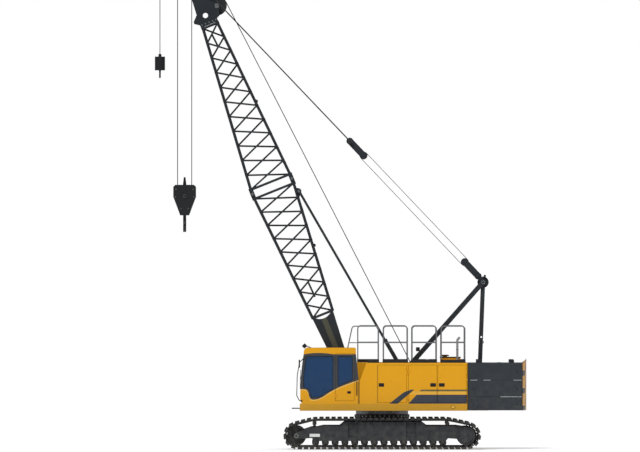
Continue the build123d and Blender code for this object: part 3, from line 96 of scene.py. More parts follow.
class Bench:
    """Modelling moves on meshes, in the order a maker would do them by hand."""

    @staticmethod
    def clear() -> None:
        """Leave edit mode and deselect everything."""
        if bpy.context.object and bpy.context.object.mode != "OBJECT":
            bpy.ops.object.mode_set(mode="OBJECT")
        bpy.ops.object.select_all(action="DESELECT")

    @staticmethod
    def pick(obj: Mesh) -> None:
        """Select one object alone and make it active.

        Args:
            obj: Object to select.
        """
        Bench.clear()
        obj.select_set(True)
        bpy.context.view_layer.objects.active = obj

    @staticmethod
    def settle(obj: Mesh) -> Mesh:
        """Move an object's place, turn and scale into its mesh.

        Args:
            obj: Object to settle.

        Returns:
            The same object, at the origin.
        """
        Bench.pick(obj)
        bpy.ops.object.transform_apply(location=True, rotation=True, scale=True)
        return obj

    @staticmethod
    def block(low: Point, high: Point, bevel: float = 0.0, segments: int = 2) -> Mesh:
        """Box between two corners, with its edges rounded.

        Args:
            low: Lowest corner.
            high: Highest corner.
            bevel: Width of the rounded edges, or 0 for sharp ones.
            segments: Steps in each rounded edge.

        Returns:
            The box.
        """
        Bench.clear()
        middle = [(a + b) / 2 for a, b in zip(low, high)]
        size = [abs(b - a) for a, b in zip(low, high)]
        bpy.ops.mesh.primitive_cube_add(size=1.0, location=middle, scale=size)
        obj = Bench.settle(bpy.context.object)
        return Bench.round_edges(obj, bevel, segments) if bevel else obj

    @staticmethod
    def bar(start: Point, end: Point, radius: float, sides: int = 20, bevel: float = 0.0) -> Mesh:
        """Round bar between two points.

        Args:
            start: Middle of one end.
            end: Middle of the other end.
            radius: Radius of the bar.
            sides: Number of flats round the bar.
            bevel: Width of the rounded end edges.

        Returns:
            The bar.
        """
        Bench.clear()
        run = Vector(end) - Vector(start)
        turn = run.to_track_quat("Z", "Y").to_euler()
        bpy.ops.mesh.primitive_cylinder_add(
            vertices=sides, radius=radius, depth=run.length,
            location=(Vector(start) + Vector(end)) / 2, rotation=turn)
        obj = Bench.settle(bpy.context.object)
        if bevel:
            Bench.round_edges(obj, bevel, 2)
        return obj

    @staticmethod
    def face(outline: list[Flat], y: float) -> Mesh:
        """Flat face with an (x, z) outline, left in edit mode with all of it selected.

        Args:
            outline: Corners in order, as (x, z).
            y: y of the face.

        Returns:
            The face.
        """
        Bench.clear()
        bpy.ops.mesh.primitive_circle_add(vertices=len(outline), radius=1.0, fill_type="NGON")
        obj = bpy.context.object
        for vertex, (x, z) in zip(obj.data.vertices, outline):
            vertex.co = (x, y, z)
        bpy.ops.object.mode_set(mode="EDIT")
        bpy.ops.mesh.select_all(action="SELECT")
        return obj

    @staticmethod
    def pulled(obj: Mesh, y_range: Flat) -> Mesh:
        """Pull what is selected in edit mode from one y to another, and close it.

        Args:
            obj: Mesh in edit mode, at the lower y.
            y_range: y of the two faces.

        Returns:
            The same object, settled.
        """
        bpy.ops.mesh.extrude_region_move(
            TRANSFORM_OT_translate={"value": (0, abs(y_range[1] - y_range[0]), 0)})
        bpy.ops.mesh.select_all(action="SELECT")
        bpy.ops.mesh.normals_make_consistent(inside=False)
        bpy.ops.object.mode_set(mode="OBJECT")
        return Bench.settle(obj)

    @staticmethod
    def plate(outline: list[Flat], y_range: Flat) -> Mesh:
        """Flat plate with an (x, z) outline, between two values of y."""
        return Bench.pulled(Bench.face(outline, min(y_range)), y_range)

    @staticmethod
    def turned(profile: list[Flat], centre: Point, axis: Point, steps: int = 32) -> Mesh:
        """Round piece made by spinning a profile about an axis.

        Args:
            profile: Points as (radius, distance along the axis), closed by the spin.
            centre: Point on the axis where the distance is 0.
            axis: Direction of the axis.
            steps: Number of flats round the piece.

        Returns:
            The turned piece.
        """
        along = Vector(axis).normalized()
        across = along.orthogonal().normalized()
        points = [Vector(centre) + across * r + along * a for r, a in profile]
        Bench.clear()
        bpy.ops.mesh.primitive_plane_add(size=0.01, location=points[0])
        obj = bpy.context.object
        Bench.settle(obj)
        bpy.ops.object.mode_set(mode="EDIT")
        bpy.ops.mesh.select_mode(type="VERT")
        bpy.ops.mesh.select_all(action="SELECT")
        bpy.ops.mesh.merge(type="CENTER")
        for before, after in zip(points, points[1:]):
            bpy.ops.mesh.extrude_region_move(TRANSFORM_OT_translate={"value": after - before})
        bpy.ops.mesh.select_all(action="SELECT")
        bpy.ops.mesh.spin(steps=steps, angle=math.tau, center=centre, axis=along)
        bpy.ops.mesh.select_all(action="SELECT")
        bpy.ops.mesh.remove_doubles(threshold=1e-5)
        bpy.ops.mesh.normals_make_consistent(inside=False)
        bpy.ops.object.mode_set(mode="OBJECT")
        return obj

    @staticmethod
    def pipe(points: list[Point], radius: float, smooth: bool = True) -> Mesh:
        """Round pipe that follows a line of points.

        Args:
            points: Points of the pipe's middle line.
            radius: Radius of the pipe.
            smooth: Whether its bends are rounded.

        Returns:
            The pipe as a mesh with closed ends.
        """
        Bench.clear()
        bpy.ops.curve.primitive_nurbs_path_add()
        curve = bpy.context.object
        spline = curve.data.splines[0]
        spline.points.add(max(0, len(points) - len(spline.points)))
        if len(points) < len(spline.points):
            curve.data.splines.clear()
            spline = curve.data.splines.new("NURBS")
            spline.points.add(len(points) - 1)
        for target, point in zip(spline.points, points):
            target.co = (*point, 1.0)
        spline.order_u = 3 if smooth else 2
        spline.use_endpoint_u = True
        curve.data.bevel_depth = radius
        curve.data.bevel_resolution = 3
        curve.data.use_fill_caps = True
        curve.location = (0, 0, 0)
        bpy.ops.object.convert(target="MESH")
        return Bench.settle(bpy.context.object)

    @staticmethod
    def modified(obj: Mesh, kind: str, **values: object) -> Mesh:
        """Add a modifier to an object, set it and apply it.

        Args:
            obj: Object to change.
            kind: Type of the modifier.
            values: Its settings by name.

        Returns:
            The same object.
        """
        Bench.pick(obj)
        bpy.ops.object.modifier_add(type=kind)
        modifier = obj.modifiers[-1]
        for key, value in values.items():
            setattr(modifier, key, value)
        bpy.ops.object.modifier_apply(modifier=modifier.name)
        return obj

    @staticmethod
    def round_edges(obj: Mesh, width: float, segments: int = 2, angle: float = 30.0) -> Mesh:
        """Round an object's edges that are sharper than an angle in degrees."""
        return Bench.modified(obj, "BEVEL", width=width, segments=segments, limit_method="ANGLE",
                              angle_limit=math.radians(angle), use_clamp_overlap=True)

    @staticmethod
    def smooth(obj: Mesh, angle: float = 32.0) -> Mesh:
        """Shade an object smooth, with its sharper edges kept and its flat faces flat.

        Args:
            obj: Object to shade.
            angle: Angle in degrees under which an edge is smooth.

        Returns:
            The same object.
        """
        Bench.pick(obj)
        bpy.ops.object.shade_smooth_by_angle(angle=math.radians(angle))
        return Bench.modified(obj, "WEIGHTED_NORMAL", keep_sharp=True, weight=100)

    @staticmethod
    def outline(corners: tuple[Point, ...], steps: int = 5) -> list[Flat]:
        """Outline with rounded corners.

        Args:
            corners: Corners in order, as (x, z, radius). A radius of 0 leaves one sharp.
            steps: Number of steps in each rounded corner.

        Returns:
            Points of the outline as (x, z).
        """
        points = []
        for i, (x, z, radius) in enumerate(corners):
            corner = Vector((x, z))
            before = (Vector(corners[i - 1][:2]) - corner).normalized()
            after = (Vector(corners[(i + 1) % len(corners)][:2]) - corner).normalized()
            if not radius:
                points.append((x, z))
                continue
            half = before.angle(after) / 2
            reach = radius / math.tan(half)
            for step in range(steps + 1):
                share = step / steps
                start, end = corner + before * reach, corner + after * reach
                bend = start.lerp(corner, share).lerp(corner.lerp(end, share), share)
                points.append(tuple(bend))
        return points

    @staticmethod
    def ring(outline: list[Flat], y_range: Flat, width: float) -> Mesh:
        """Flat frame inside an (x, z) outline, between two values of y.

        Args:
            outline: Outer edge of the frame.
            y_range: y of its two faces.
            width: Breadth of its strip.

        Returns:
            The frame.
        """
        obj = Bench.face(outline, min(y_range))
        bpy.ops.mesh.inset(thickness=width)
        bpy.ops.mesh.delete(type="FACE")
        bpy.ops.mesh.select_all(action="SELECT")
        return Bench.pulled(obj, y_range)

    @staticmethod
    def join(pieces: list[Mesh]) -> Mesh:
        """Join several meshes into one object.

        Args:
            pieces: Meshes to join. The first one stays.

        Returns:
            The joined object.
        """
        Bench.clear()
        for piece in pieces:
            piece.select_set(True)
        bpy.context.view_layer.objects.active = pieces[0]
        if len(pieces) > 1:
            bpy.ops.object.join()
        return bpy.context.object

    @staticmethod
    def copy(obj: Mesh, change: Matrix) -> Mesh:
        """Copy an object with its own mesh, moved by a matrix.

        Args:
            obj: Object to copy.
            change: Move of the copy. A mirror turns the faces round again.

        Returns:
            The copy.
        """
        twin = bpy.data.objects.new(obj.name, obj.data.copy())
        bpy.context.scene.collection.objects.link(twin)
        twin.data.transform(change)
        if change.determinant() < 0:
            twin.data.flip_normals()
        return twin


class Wiring:
    """Adds and links nodes in one node tree."""

    def __init__(self, tree: Tree) -> None:
        """Start on a tree."""
        self.tree = tree

    def add(self, kind: str, **values: object) -> Node:
        """Add a node and set its options.

        Args:
            kind: Node type.
            values: Options of the node by name.

        Returns:
            The node.
        """
        node = self.tree.nodes.new(kind)
        for key, value in values.items():
            setattr(node, key, value)
        return node

    def link(self, source: Socket, target: Socket) -> None:
        """Link an output to an input."""
        self.tree.links.new(source, target)

    def math(self, operation: str, first: object, second: object = 0.0) -> Socket:
        """Add a math node whose inputs are sockets or numbers.

        Args:
            operation: Name of the operation.
            first: First input.
            second: Second input.

        Returns:
            The result.
        """
        node = self.add("ShaderNodeMath", operation=operation)
        for socket, value in zip(node.inputs, (first, second)):
            if isinstance(value, Socket):
                self.link(value, socket)
            else:
                socket.default_value = value
        return node.outputs[0]

    def mix(self, factor: object, first: object, second: object) -> Socket:
        """Mix two colours, each a socket or a colour.

        Args:
            factor: Share of the second colour.
            first: First colour.
            second: Second colour.

        Returns:
            The mixed colour.
        """
        node = self.add("ShaderNodeMix", data_type="RGBA")
        for socket, value in ((node.inputs[0], factor), (node.inputs[6], first), (node.inputs[7], second)):
            if isinstance(value, Socket):
                self.link(value, socket)
            elif isinstance(value, tuple):
                socket.default_value = (*value, 1.0)
            else:
                socket.default_value = value
        return node.outputs[2]

    def noise(self, vector: Socket, scale: object, detail: float) -> Socket:
        """Add a noise texture and give its value.

        Args:
            vector: Coordinates.
            scale: Scale, a socket or a number.
            detail: Number of finer layers.

        Returns:
            The noise value, about 0.5 on average.
        """
        node = self.add("ShaderNodeTexNoise")
        node.inputs["Detail"].default_value = detail
        self.link(vector, node.inputs["Vector"])
        if isinstance(scale, Socket):
            self.link(scale, node.inputs["Scale"])
        else:
            node.inputs["Scale"].default_value = scale
        return node.outputs[0]

    def coords(self) -> Socket:
        """Object coordinates."""
        return self.add("ShaderNodeTexCoord").outputs["Object"]

    def axes(self) -> tuple[Socket, ...]:
        """Object coordinates split up.

        Returns:
            The sockets of x, y and z.
        """
        split = self.add("ShaderNodeSeparateXYZ")
        self.link(self.coords(), split.inputs[0])
        return tuple(split.outputs)

    def between(self, value: object, low: object, high: object) -> Socket:
        """1 where a value lies between two limits, each a socket or a number, and 0 elsewhere."""
        above = self.math("GREATER_THAN", value, low)
        return self.math("MULTIPLY", above, self.math("LESS_THAN", value, high))

    def ramp(self, value: Socket, low: float, high: float) -> Socket:
        """Stretch a value's range.

        Args:
            value: The value.
            low: What becomes 0.
            high: What becomes 1.

        Returns:
            The stretched value, clamped.
        """
        node = self.add("ShaderNodeMapRange")
        self.link(value, node.inputs[0])
        node.inputs[1].default_value = low
        node.inputs[2].default_value = high
        return node.outputs[0]


class Effect:
    """Shader node groups that several finishes share, each built once."""

    @staticmethod
    def start(name: str, colours: tuple[str, ...], values: tuple[str, ...],
              outputs: tuple[str, ...] = ("Colour", "Mask")) -> tuple[Wiring, Node, Node]:
        """Make an empty group with named sockets.

        Args:
            name: Name of the group.
            colours: Names of the colours that go in.
            values: Names of the values that go in.
            outputs: Names of what comes out, where only Colour is a colour.

        Returns:
            The wiring, the group's input node and its output node.
        """
        tree = bpy.data.node_groups.new(name, "ShaderNodeTree")
        for title in colours + values:
            kind = "NodeSocketColor" if title in colours else "NodeSocketFloat"
            tree.interface.new_socket(name=title, in_out="INPUT", socket_type=kind)
        for title in outputs:
            kind = "NodeSocketColor" if title == "Colour" else "NodeSocketFloat"
            tree.interface.new_socket(name=title, in_out="OUTPUT", socket_type=kind)
        wires = Wiring(tree)
        return wires, wires.add("NodeGroupInput"), wires.add("NodeGroupOutput")

    @staticmethod
    def finish(wires: Wiring, given: Node, out: Node, mask: Socket) -> Tree:
        """Lay a group's second colour over its first one by a mask, and put both out.

        Args:
            wires: Wiring of the group.
            given: The group's input node.
            out: The group's output node.
            mask: Where the second colour lies.

        Returns:
            The group.
        """
        wires.link(wires.mix(mask, given.outputs[0], given.outputs[1]), out.inputs["Colour"])
        wires.link(mask, out.inputs["Mask"])
        return wires.tree

    @staticmethod
    @cache
    def patches() -> Tree:
        """Group that mixes a second colour in broad soft patches.

        Returns:
            The group.
        """
        wires, given, out = Effect.start("Patches", ("Base", "Patch"), ("Scale", "Amount"))
        noise = wires.noise(wires.coords(), given.outputs["Scale"], 5.0)
        mask = wires.math("MULTIPLY", wires.ramp(noise, 0.35, 0.68), given.outputs["Amount"])
        return Effect.finish(wires, given, out, mask)

    @staticmethod
    @cache
    def wear() -> Tree:
        """Group that bares a second colour along edges, in broken lines.

        Returns:
            The group.
        """
        wires, given, out = Effect.start("Edge wear", ("Colour", "Wear"), ("Width", "Amount"))
        bevel = wires.add("ShaderNodeBevel", samples=3)
        wires.link(given.outputs["Width"], bevel.inputs["Radius"])
        dot = wires.add("ShaderNodeVectorMath", operation="DOT_PRODUCT")
        wires.link(bevel.outputs[0], dot.inputs[0])
        wires.link(wires.add("ShaderNodeNewGeometry").outputs["Normal"], dot.inputs[1])
        edge = wires.ramp(wires.math("SUBTRACT", 1.0, dot.outputs["Value"]), 0.02, 0.16)
        breaks = wires.ramp(wires.noise(wires.coords(), 9.0, 6.0), 0.42, 0.62)
        mask = wires.math("MULTIPLY", wires.math("MULTIPLY", edge, breaks), given.outputs["Amount"])
        return Effect.finish(wires, given, out, mask)

    @staticmethod
    @cache
    def dust() -> Tree:
        """Group that lays dust on a surface, thickest at the ground.

        Returns:
            The group.
        """
        wires, given, out = Effect.start("Ground dust", ("Colour", "Dust"), ("Height", "Amount"))
        share = wires.math("DIVIDE", wires.axes()[2], given.outputs["Height"])
        near = wires.math("MAXIMUM", wires.math("SUBTRACT", 1.0, share), 0.0)
        cloud = wires.ramp(wires.noise(wires.coords(), 5.5, 7.0), 0.32, 0.70)
        mask = wires.math("MULTIPLY", wires.math("MULTIPLY", near, cloud), given.outputs["Amount"])
        return Effect.finish(wires, given, out, mask)

    @staticmethod
    @cache
    def grain() -> Tree:
        """Group that gives the height of fine and coarse surface grain.

        Returns:
            The group.
        """
        wires, given, out = Effect.start(
            "Grain", (), ("Fine Scale", "Fine Depth", "Coarse Scale", "Coarse Depth"), ("Height",))
        fine, coarse = (
            wires.math("MULTIPLY", wires.noise(wires.coords(), given.outputs[f"{size} Scale"], detail),
                       given.outputs[f"{size} Depth"])
            for size, detail in (("Fine", 3.0), ("Coarse", 4.0)))
        wires.link(wires.math("ADD", fine, coarse), out.inputs["Height"])
        return wires.tree

    @staticmethod
    def place(wires: Wiring, tree: Tree, values: dict[str, object]) -> Node:
        """Place a group in a material and set or link its inputs.

        Args:
            wires: Wiring of the material.
            tree: Group to place.
            values: Socket, colour or number for each named input.

        Returns:
            The group node.
        """
        node = wires.add("ShaderNodeGroup", node_tree=tree)
        for name, value in values.items():
            if isinstance(value, Socket):
                wires.link(value, node.inputs[name])
            elif isinstance(value, tuple):
                node.inputs[name].default_value = (*value, 1.0)
            else:
                node.inputs[name].default_value = value
        return node


DUST: Colour = (0.33, 0.29, 0.23)
BARE_STEEL: Colour = (0.30, 0.30, 0.30)


def new_material(name: str) -> tuple[Material, Wiring, Node]:
    """Start a material.

    Args:
        name: Name of the material.

    Returns:
        The material, its wiring and its shader.
    """
    material = bpy.data.materials.new(name)
    material.use_nodes = True
    return material, Wiring(material.node_tree), material.node_tree.nodes["Principled BSDF"]


@dataclass(frozen=True)
class Finish:
    """Painted or bare surface with patches, edge wear, dust and grain."""

    name: str
    slot: str
    base: Colour
    patch: Colour
    patch_scale: float = 1.6
    patch_amount: float = 0.5
    wear: Colour = BARE_STEEL
    wear_width: float = 0.006
    wear_amount: float = 0.35
    dust_height: float = 1.4
    dust_amount: float = 0.25
    roughness: float = 0.42
    worn_roughness: float = 0.62
    metallic: float = 0.0
    coat: float = 0.0
    specular: float = 0.22
    fine_scale: float = 260.0
    fine_depth: float = 0.15
    coarse_scale: float = 14.0
    coarse_depth: float = 0.25
    bump: float = 0.06

    def base_colour(self, wires: Wiring) -> Socket:
        """Colour before wear and dust."""
        node = Effect.place(wires, Effect.patches(), {
            "Base": self.base, "Patch": self.patch, "Scale": self.patch_scale,
            "Amount": self.patch_amount})
        return node.outputs["Colour"]

    def height(self, wires: Wiring) -> Socket:
        """Height of the surface's relief."""
        node = Effect.place(wires, Effect.grain(), {
            "Fine Scale": self.fine_scale, "Fine Depth": self.fine_depth,
            "Coarse Scale": self.coarse_scale, "Coarse Depth": self.coarse_depth})
        return node.outputs["Height"]

    @cache
    def material(self) -> Material:
        """The finish as a material, built once.

        Returns:
            The material.
        """
        material, wires, shader = new_material(self.name)
        worn = Effect.place(wires, Effect.wear(), {
            "Colour": self.base_colour(wires), "Wear": self.wear, "Width": self.wear_width,
            "Amount": self.wear_amount})
        dusty = Effect.place(wires, Effect.dust(), {
            "Colour": worn.outputs["Colour"], "Dust": DUST, "Height": self.dust_height,
            "Amount": self.dust_amount})
        wires.link(dusty.outputs["Colour"], shader.inputs["Base Color"])
        masks = wires.math("ADD", worn.outputs["Mask"], dusty.outputs["Mask"])
        change = wires.math("MULTIPLY", masks, self.worn_roughness - self.roughness)
        wires.link(wires.math("ADD", change, self.roughness), shader.inputs["Roughness"])
        for title, value in (("Metallic", self.metallic), ("Coat Weight", self.coat),
                             ("Coat Roughness", 0.12), ("Specular IOR Level", self.specular)):
            shader.inputs[title].default_value = value
        bump = wires.add("ShaderNodeBump")
        bump.inputs["Strength"].default_value = self.bump
        bump.inputs["Distance"].default_value = 0.01
        wires.link(self.height(wires), bump.inputs["Height"])
        wires.link(bump.outputs["Normal"], shader.inputs["Normal"])
        return material


@dataclass(frozen=True)
class BandedFinish(Finish):
    """Paint in dark bands that rise towards the middle of the crane, as on a warning board."""

    second: Colour = (0.012, 0.012, 0.012)
    first_band: float = 1.105
    pitch: float = 0.51
    share: float = 0.30
    edge_y: float = 1.10
    rise: float = 0.75

    def base_colour(self, wires: Wiring) -> Socket:
        """Banded colour by height at the board's edge and by the way in from it.

        Args:
            wires: Wiring of the material.

        Returns:
            The colour socket.
        """
        _, y, z = wires.axes()
        inwards = wires.math("MAXIMUM", wires.math("SUBTRACT", self.edge_y, wires.math("ABSOLUTE", y)), 0.0)
        height = wires.math("SUBTRACT", z, wires.math("MULTIPLY", inwards, self.rise))
        along = wires.math("DIVIDE", wires.math("SUBTRACT", height, self.first_band), self.pitch)
        part = wires.math("FRACT", wires.math("ADD", along, 8.0))
        return wires.mix(wires.math("LESS_THAN", part, self.share), self.base, self.second)


@dataclass(frozen=True)
class LevelFinish(Finish):
    """Paint that changes colour between given heights above the ground."""

    levels: tuple[tuple[float, float, Colour], ...] = ()

    def base_colour(self, wires: Wiring) -> Socket:
        """Patched colour with each level painted over it.

        Args:
            wires: Wiring of the material.

        Returns:
            The colour socket.
        """
        colour = super().base_colour(wires)
        _, _, z = wires.axes()
        for low, high, other in self.levels:
            colour = wires.mix(wires.between(z, low, high), colour, other)
        return colour


@dataclass(frozen=True)
class LineFinish(Finish):
    """Paint with a second colour along a straight (x, z) line."""

    second: Colour = (0.05, 0.05, 0.05)
    start: Flat = (0.0, 0.0)
    end: Flat = (1.0, 0.0)
    half_width: float = 0.03

    def base_colour(self, wires: Wiring) -> Socket:
        """Patched colour with the line painted over it.

        Args:
            wires: Wiring of the material.

        Returns:
            The colour socket.
        """
        colour = super().base_colour(wires)
        x, _, z = wires.axes()
        dx, dz = self.end[0] - self.start[0], self.end[1] - self.start[1]
        length = math.hypot(dx, dz)
        dx, dz = dx / length, dz / length
        right = wires.math("SUBTRACT", x, self.start[0])
        up = wires.math("SUBTRACT", z, self.start[1])
        along = wires.math("ADD", wires.math("MULTIPLY", right, dx), wires.math("MULTIPLY", up, dz))
        off = wires.math("SUBTRACT", wires.math("MULTIPLY", up, dx), wires.math("MULTIPLY", right, dz))
        mask = wires.math("MULTIPLY", wires.between(along, 0.0, length),
                          wires.between(off, -self.half_width, self.half_width))
        return wires.mix(mask, colour, self.second)


@dataclass(frozen=True)
class Stripe:
    """Painted band on a hood's side, between two slanted edges."""

    colour: Colour
    front: float
    front_slant: float
    rear: float
    rear_slant: float
    low: float
    high: float
    corner: float = 0.0


@dataclass(frozen=True)
class StripedFinish(Finish):
    """Body enamel with stripes on the outer sides of the hoods, two of them pale bands that are painted
    highlight lines.
    """

    stripes: tuple[Stripe, ...] = ()
    foot_z: float = 1.318
    outer_y: float = 1.595

    def base_colour(self, wires: Wiring) -> Socket:
        """Patched enamel with each stripe painted over it.

        Args:
            wires: Wiring of the material.

        Returns:
            The colour socket.
        """
        colour = super().base_colour(wires)
        x, y, z = wires.axes()
        outside = wires.math("GREATER_THAN", wires.math("ABSOLUTE", y), self.outer_y)
        rise = wires.math("SUBTRACT", z, self.foot_z)
        for stripe in self.stripes:
            lean = wires.math("ADD", wires.math("MULTIPLY", rise, stripe.front_slant), stripe.front)
            over = wires.math("MAXIMUM", wires.math("SUBTRACT", z, stripe.high - stripe.corner), 0.0)
            bend = wires.math("MULTIPLY", wires.math("POWER", over, 2.0), 9.0)
            front = wires.math("SUBTRACT", lean, bend)
            rear = wires.math("ADD", wires.math("MULTIPLY", rise, stripe.rear_slant), stripe.rear)
            mask = wires.math("MULTIPLY", wires.between(x, rear, front),
                              wires.between(z, stripe.low, stripe.high))
            colour = wires.mix(wires.math("MULTIPLY", mask, outside), colour, stripe.colour)
        return colour


@dataclass(frozen=True)
class CabFinish(Finish):
    """Body enamel with a dark band round the windows over a curved sill, and a pale painted highlight just
    under the sill.
    """

    band: Colour = (0.046, 0.050, 0.054)
    # Pale colour painted just under the sill as a highlight, and the depths below the sill between which it
    # lies
    painted_sill_highlight: Colour = (0.80, 0.52, 0.16)
    painted_sill_highlight_range: Flat = (0.030, 0.010)
    top: float = 2.748
    arch: float = 0.038
    arch_middle: float = 1.84
    arch_half: float = 0.43
    z_range: Flat = (1.40, 2.05)
    sill: tuple[Flat, ...] = ((0.650, 2.012), (0.890, 1.930), (1.299, 1.766), (1.531, 1.640),
                              (1.778, 1.487), (1.902, 1.444), (2.045, 1.444), (2.100, 1.500),
                              (2.150, 1.665), (2.216, 1.728), (2.400, 1.733))

    def sill_height(self, wires: Wiring, x: Socket) -> Socket:
        """Height of the sill's curve.

        Args:
            wires: Wiring of the material.
            x: Socket of x.

        Returns:
            The height at x.
        """
        low_x, high_x = self.sill[0][0], self.sill[-1][0]
        low_z, high_z = self.z_range
        node = wires.add("ShaderNodeFloatCurve")
        curve = node.mapping.curves[0]
        for place, (px, pz) in enumerate(self.sill):
            spot = ((px - low_x) / (high_x - low_x), (pz - low_z) / (high_z - low_z))
            if place in (0, 1):
                curve.points[place].location = spot
            else:
                curve.points.new(*spot)
        node.mapping.update()
        share = wires.math("DIVIDE", wires.math("SUBTRACT", x, low_x), high_x - low_x)
        wires.link(share, node.inputs["Value"])
        return wires.math("ADD", wires.math("MULTIPLY", node.outputs[0], high_z - low_z), low_z)

    def base_colour(self, wires: Wiring) -> Socket:
        """Enamel, a pale painted highlight under the sill and the dark band over it.

        Args:
            wires: Wiring of the material.

        Returns:
            The colour socket.
        """
        colour = super().base_colour(wires)
        x, _, z = wires.axes()
        sill = self.sill_height(wires, x)
        away = wires.math("DIVIDE", wires.math("SUBTRACT", x, self.arch_middle), self.arch_half)
        bow = wires.math("MAXIMUM", wires.math("SUBTRACT", 1.0, wires.math("MULTIPLY", away, away)), 0.0)
        top = wires.math("ADD", wires.math("MULTIPLY", bow, self.arch), self.top)
        # Pale strip just under the sill: a painted highlight
        painted_sill_highlight = wires.between(z, wires.math("SUBTRACT", sill, self.painted_sill_highlight_range[0]),
                            wires.math("SUBTRACT", sill, self.painted_sill_highlight_range[1]))
        colour = wires.mix(painted_sill_highlight, colour, self.painted_sill_highlight)
        return wires.mix(wires.between(z, sill, top), colour, self.band)


@dataclass(frozen=True)
class PatternFinish(Finish):
    """Surface whose colour and relief both follow one raised pattern."""

    def pattern(self, wires: Wiring) -> Socket:
        """Height of the pattern from 0 to 1, which each kind of surface gives for itself."""
        raise NotImplementedError

    def base_colour(self, wires: Wiring) -> Socket:
        """Base colour on what is raised, and patch colour between."""
        return wires.mix(self.pattern(wires), self.patch, self.base)

    def height(self, wires: Wiring) -> Socket:
        """Relief of the pattern."""
        return self.pattern(wires)


@dataclass(frozen=True)
class RopeFinish(PatternFinish):
    """Wire rope with slanting strands along a direction in the x and z plane."""

    lean: float = 0.0
    strand_pitch: float = 0.022

    def pattern(self, wires: Wiring) -> Socket:
        """Wave that crosses the rope at a slant.

        Args:
            wires: Wiring of the material.

        Returns:
            The wave's value from 0 to 1.
        """
        coords = wires.coords()
        mapping = wires.add("ShaderNodeMapping")
        mapping.inputs["Rotation"].default_value = (0.55, self.lean, 0.0)
        wires.link(coords, mapping.inputs["Vector"])
        wave = wires.add("ShaderNodeTexWave", wave_type="BANDS", bands_direction="Z")
        wave.inputs["Scale"].default_value = 0.314 / self.strand_pitch
        wires.link(mapping.outputs[0], wave.inputs["Vector"])
        return wave.outputs["Fac"]


@dataclass(frozen=True)
class ClothFinish(PatternFinish):
    """Woven cloth on object coordinates."""

    thread: float = 0.004

    def pattern(self, wires: Wiring) -> Socket:
        """Height of crossing threads.

        Args:
            wires: Wiring of the material.

        Returns:
            The larger of two crossed waves.
        """
        coords = wires.coords()
        waves = []
        for direction in ("DIAGONAL", "Z"):
            wave = wires.add("ShaderNodeTexWave", wave_type="BANDS", bands_direction=direction)
            wave.inputs["Scale"].default_value = 0.314 / self.thread
            wires.link(coords, wave.inputs["Vector"])
            waves.append(wave.outputs["Fac"])
        return wires.math("MAXIMUM", *waves)


@dataclass(frozen=True)
class TreadFinish(PatternFinish):
    """Deck plate with raised anti-slip bars, worn bright on top."""

    pitch: float = 0.034

    def pattern(self, wires: Wiring) -> Socket:
        """Short raised bars in two directions.

        Args:
            wires: Wiring of the material.

        Returns:
            Height of the bars.
        """
        coords = wires.coords()
        sides = []
        for turn in (0.785, -0.785):
            mapping = wires.add("ShaderNodeMapping")
            mapping.inputs["Rotation"].default_value = (0.0, 0.0, turn)
            mapping.inputs["Scale"].default_value = (1 / self.pitch, 0.45 / self.pitch, 1.0)
            wires.link(coords, mapping.inputs["Vector"])
            cells = wires.add("ShaderNodeTexVoronoi", voronoi_dimensions="2D")
            cells.inputs["Randomness"].default_value = 0.0
            wires.link(mapping.outputs[0], cells.inputs["Vector"])
            sides.append(wires.ramp(cells.outputs["Distance"], 0.36, 0.22))
        return wires.math("MAXIMUM", *sides)


@dataclass(frozen=True)
class Pane:
    """Tinted glass."""

    name: str
    slot: str
    tint: Colour
    roughness: float = 0.03
    transmission: float = 0.8

    @cache
    def material(self) -> Material:
        """The glass as a material, built once.

        Returns:
            The material.
        """
        material, wires, shader = new_material(self.name)
        dusty = Effect.place(wires, Effect.dust(), {
            "Colour": self.tint, "Dust": DUST, "Height": 3.2, "Amount": 0.10})
        wires.link(dusty.outputs["Colour"], shader.inputs["Base Color"])
        change = wires.math("MULTIPLY", dusty.outputs["Mask"], 0.5)
        wires.link(wires.math("ADD", change, self.roughness), shader.inputs["Roughness"])
        shader.inputs["Transmission Weight"].default_value = self.transmission
        shader.inputs["IOR"].default_value = 1.45
        return material


STRIPES: tuple[Stripe, ...] = (
    # Light orange band between the olive line and the lower dark stripe: a painted highlight line
    Stripe((0.720, 0.390, 0.045), -0.470, -1.20, -2.459, 0.0, 1.585, 1.672),
    Stripe((0.130, 0.110, 0.040), -0.640, -1.20, -2.459, 0.0, 1.675, 1.728),
    Stripe((0.042, 0.046, 0.060), -0.757, -0.918, -2.459, 0.0, 1.318, 1.578),
    # Pale cream band beside the front dark stripe: a painted highlight line
    Stripe((0.700, 0.560, 0.330), -0.405, -1.18, -0.450, -1.18, 1.318, 1.590),
    Stripe((0.036, 0.044, 0.055), -0.204, -1.257, -0.450, -1.18, 1.318, 1.726, 0.12),
)
BODY_PAINT = {"slot": "body_paint", "base": (0.715, 0.330, 0.0045), "patch": (0.670, 0.305, 0.004),
              "wear": (0.42, 0.22, 0.03), "wear_amount": 0.2, "roughness": 0.36, "coat": 0.10,
              "dust_amount": 0.08, "dust_height": 2.2, "bump": 0.02}
GREY_PAINT = {"slot": "structure", "base": (0.0185, 0.0225, 0.0265), "patch": (0.026, 0.030, 0.034),
              "wear": (0.10, 0.10, 0.10), "wear_amount": 0.4, "roughness": 0.50, "specular": 0.20,
              "bump": 0.05}
CAB_BAND = CabFinish("Cab enamel", **BODY_PAINT)
BODY = StripedFinish("Body enamel", stripes=STRIPES, **BODY_PAINT)
DECK = Finish("Deck enamel", "deck", (0.590, 0.300, 0.014), (0.520, 0.260, 0.012),
              wear=(0.16, 0.13, 0.09), wear_amount=0.4, roughness=0.45, coat=0.0, dust_amount=0.15,
              dust_height=2.0, bump=0.04)
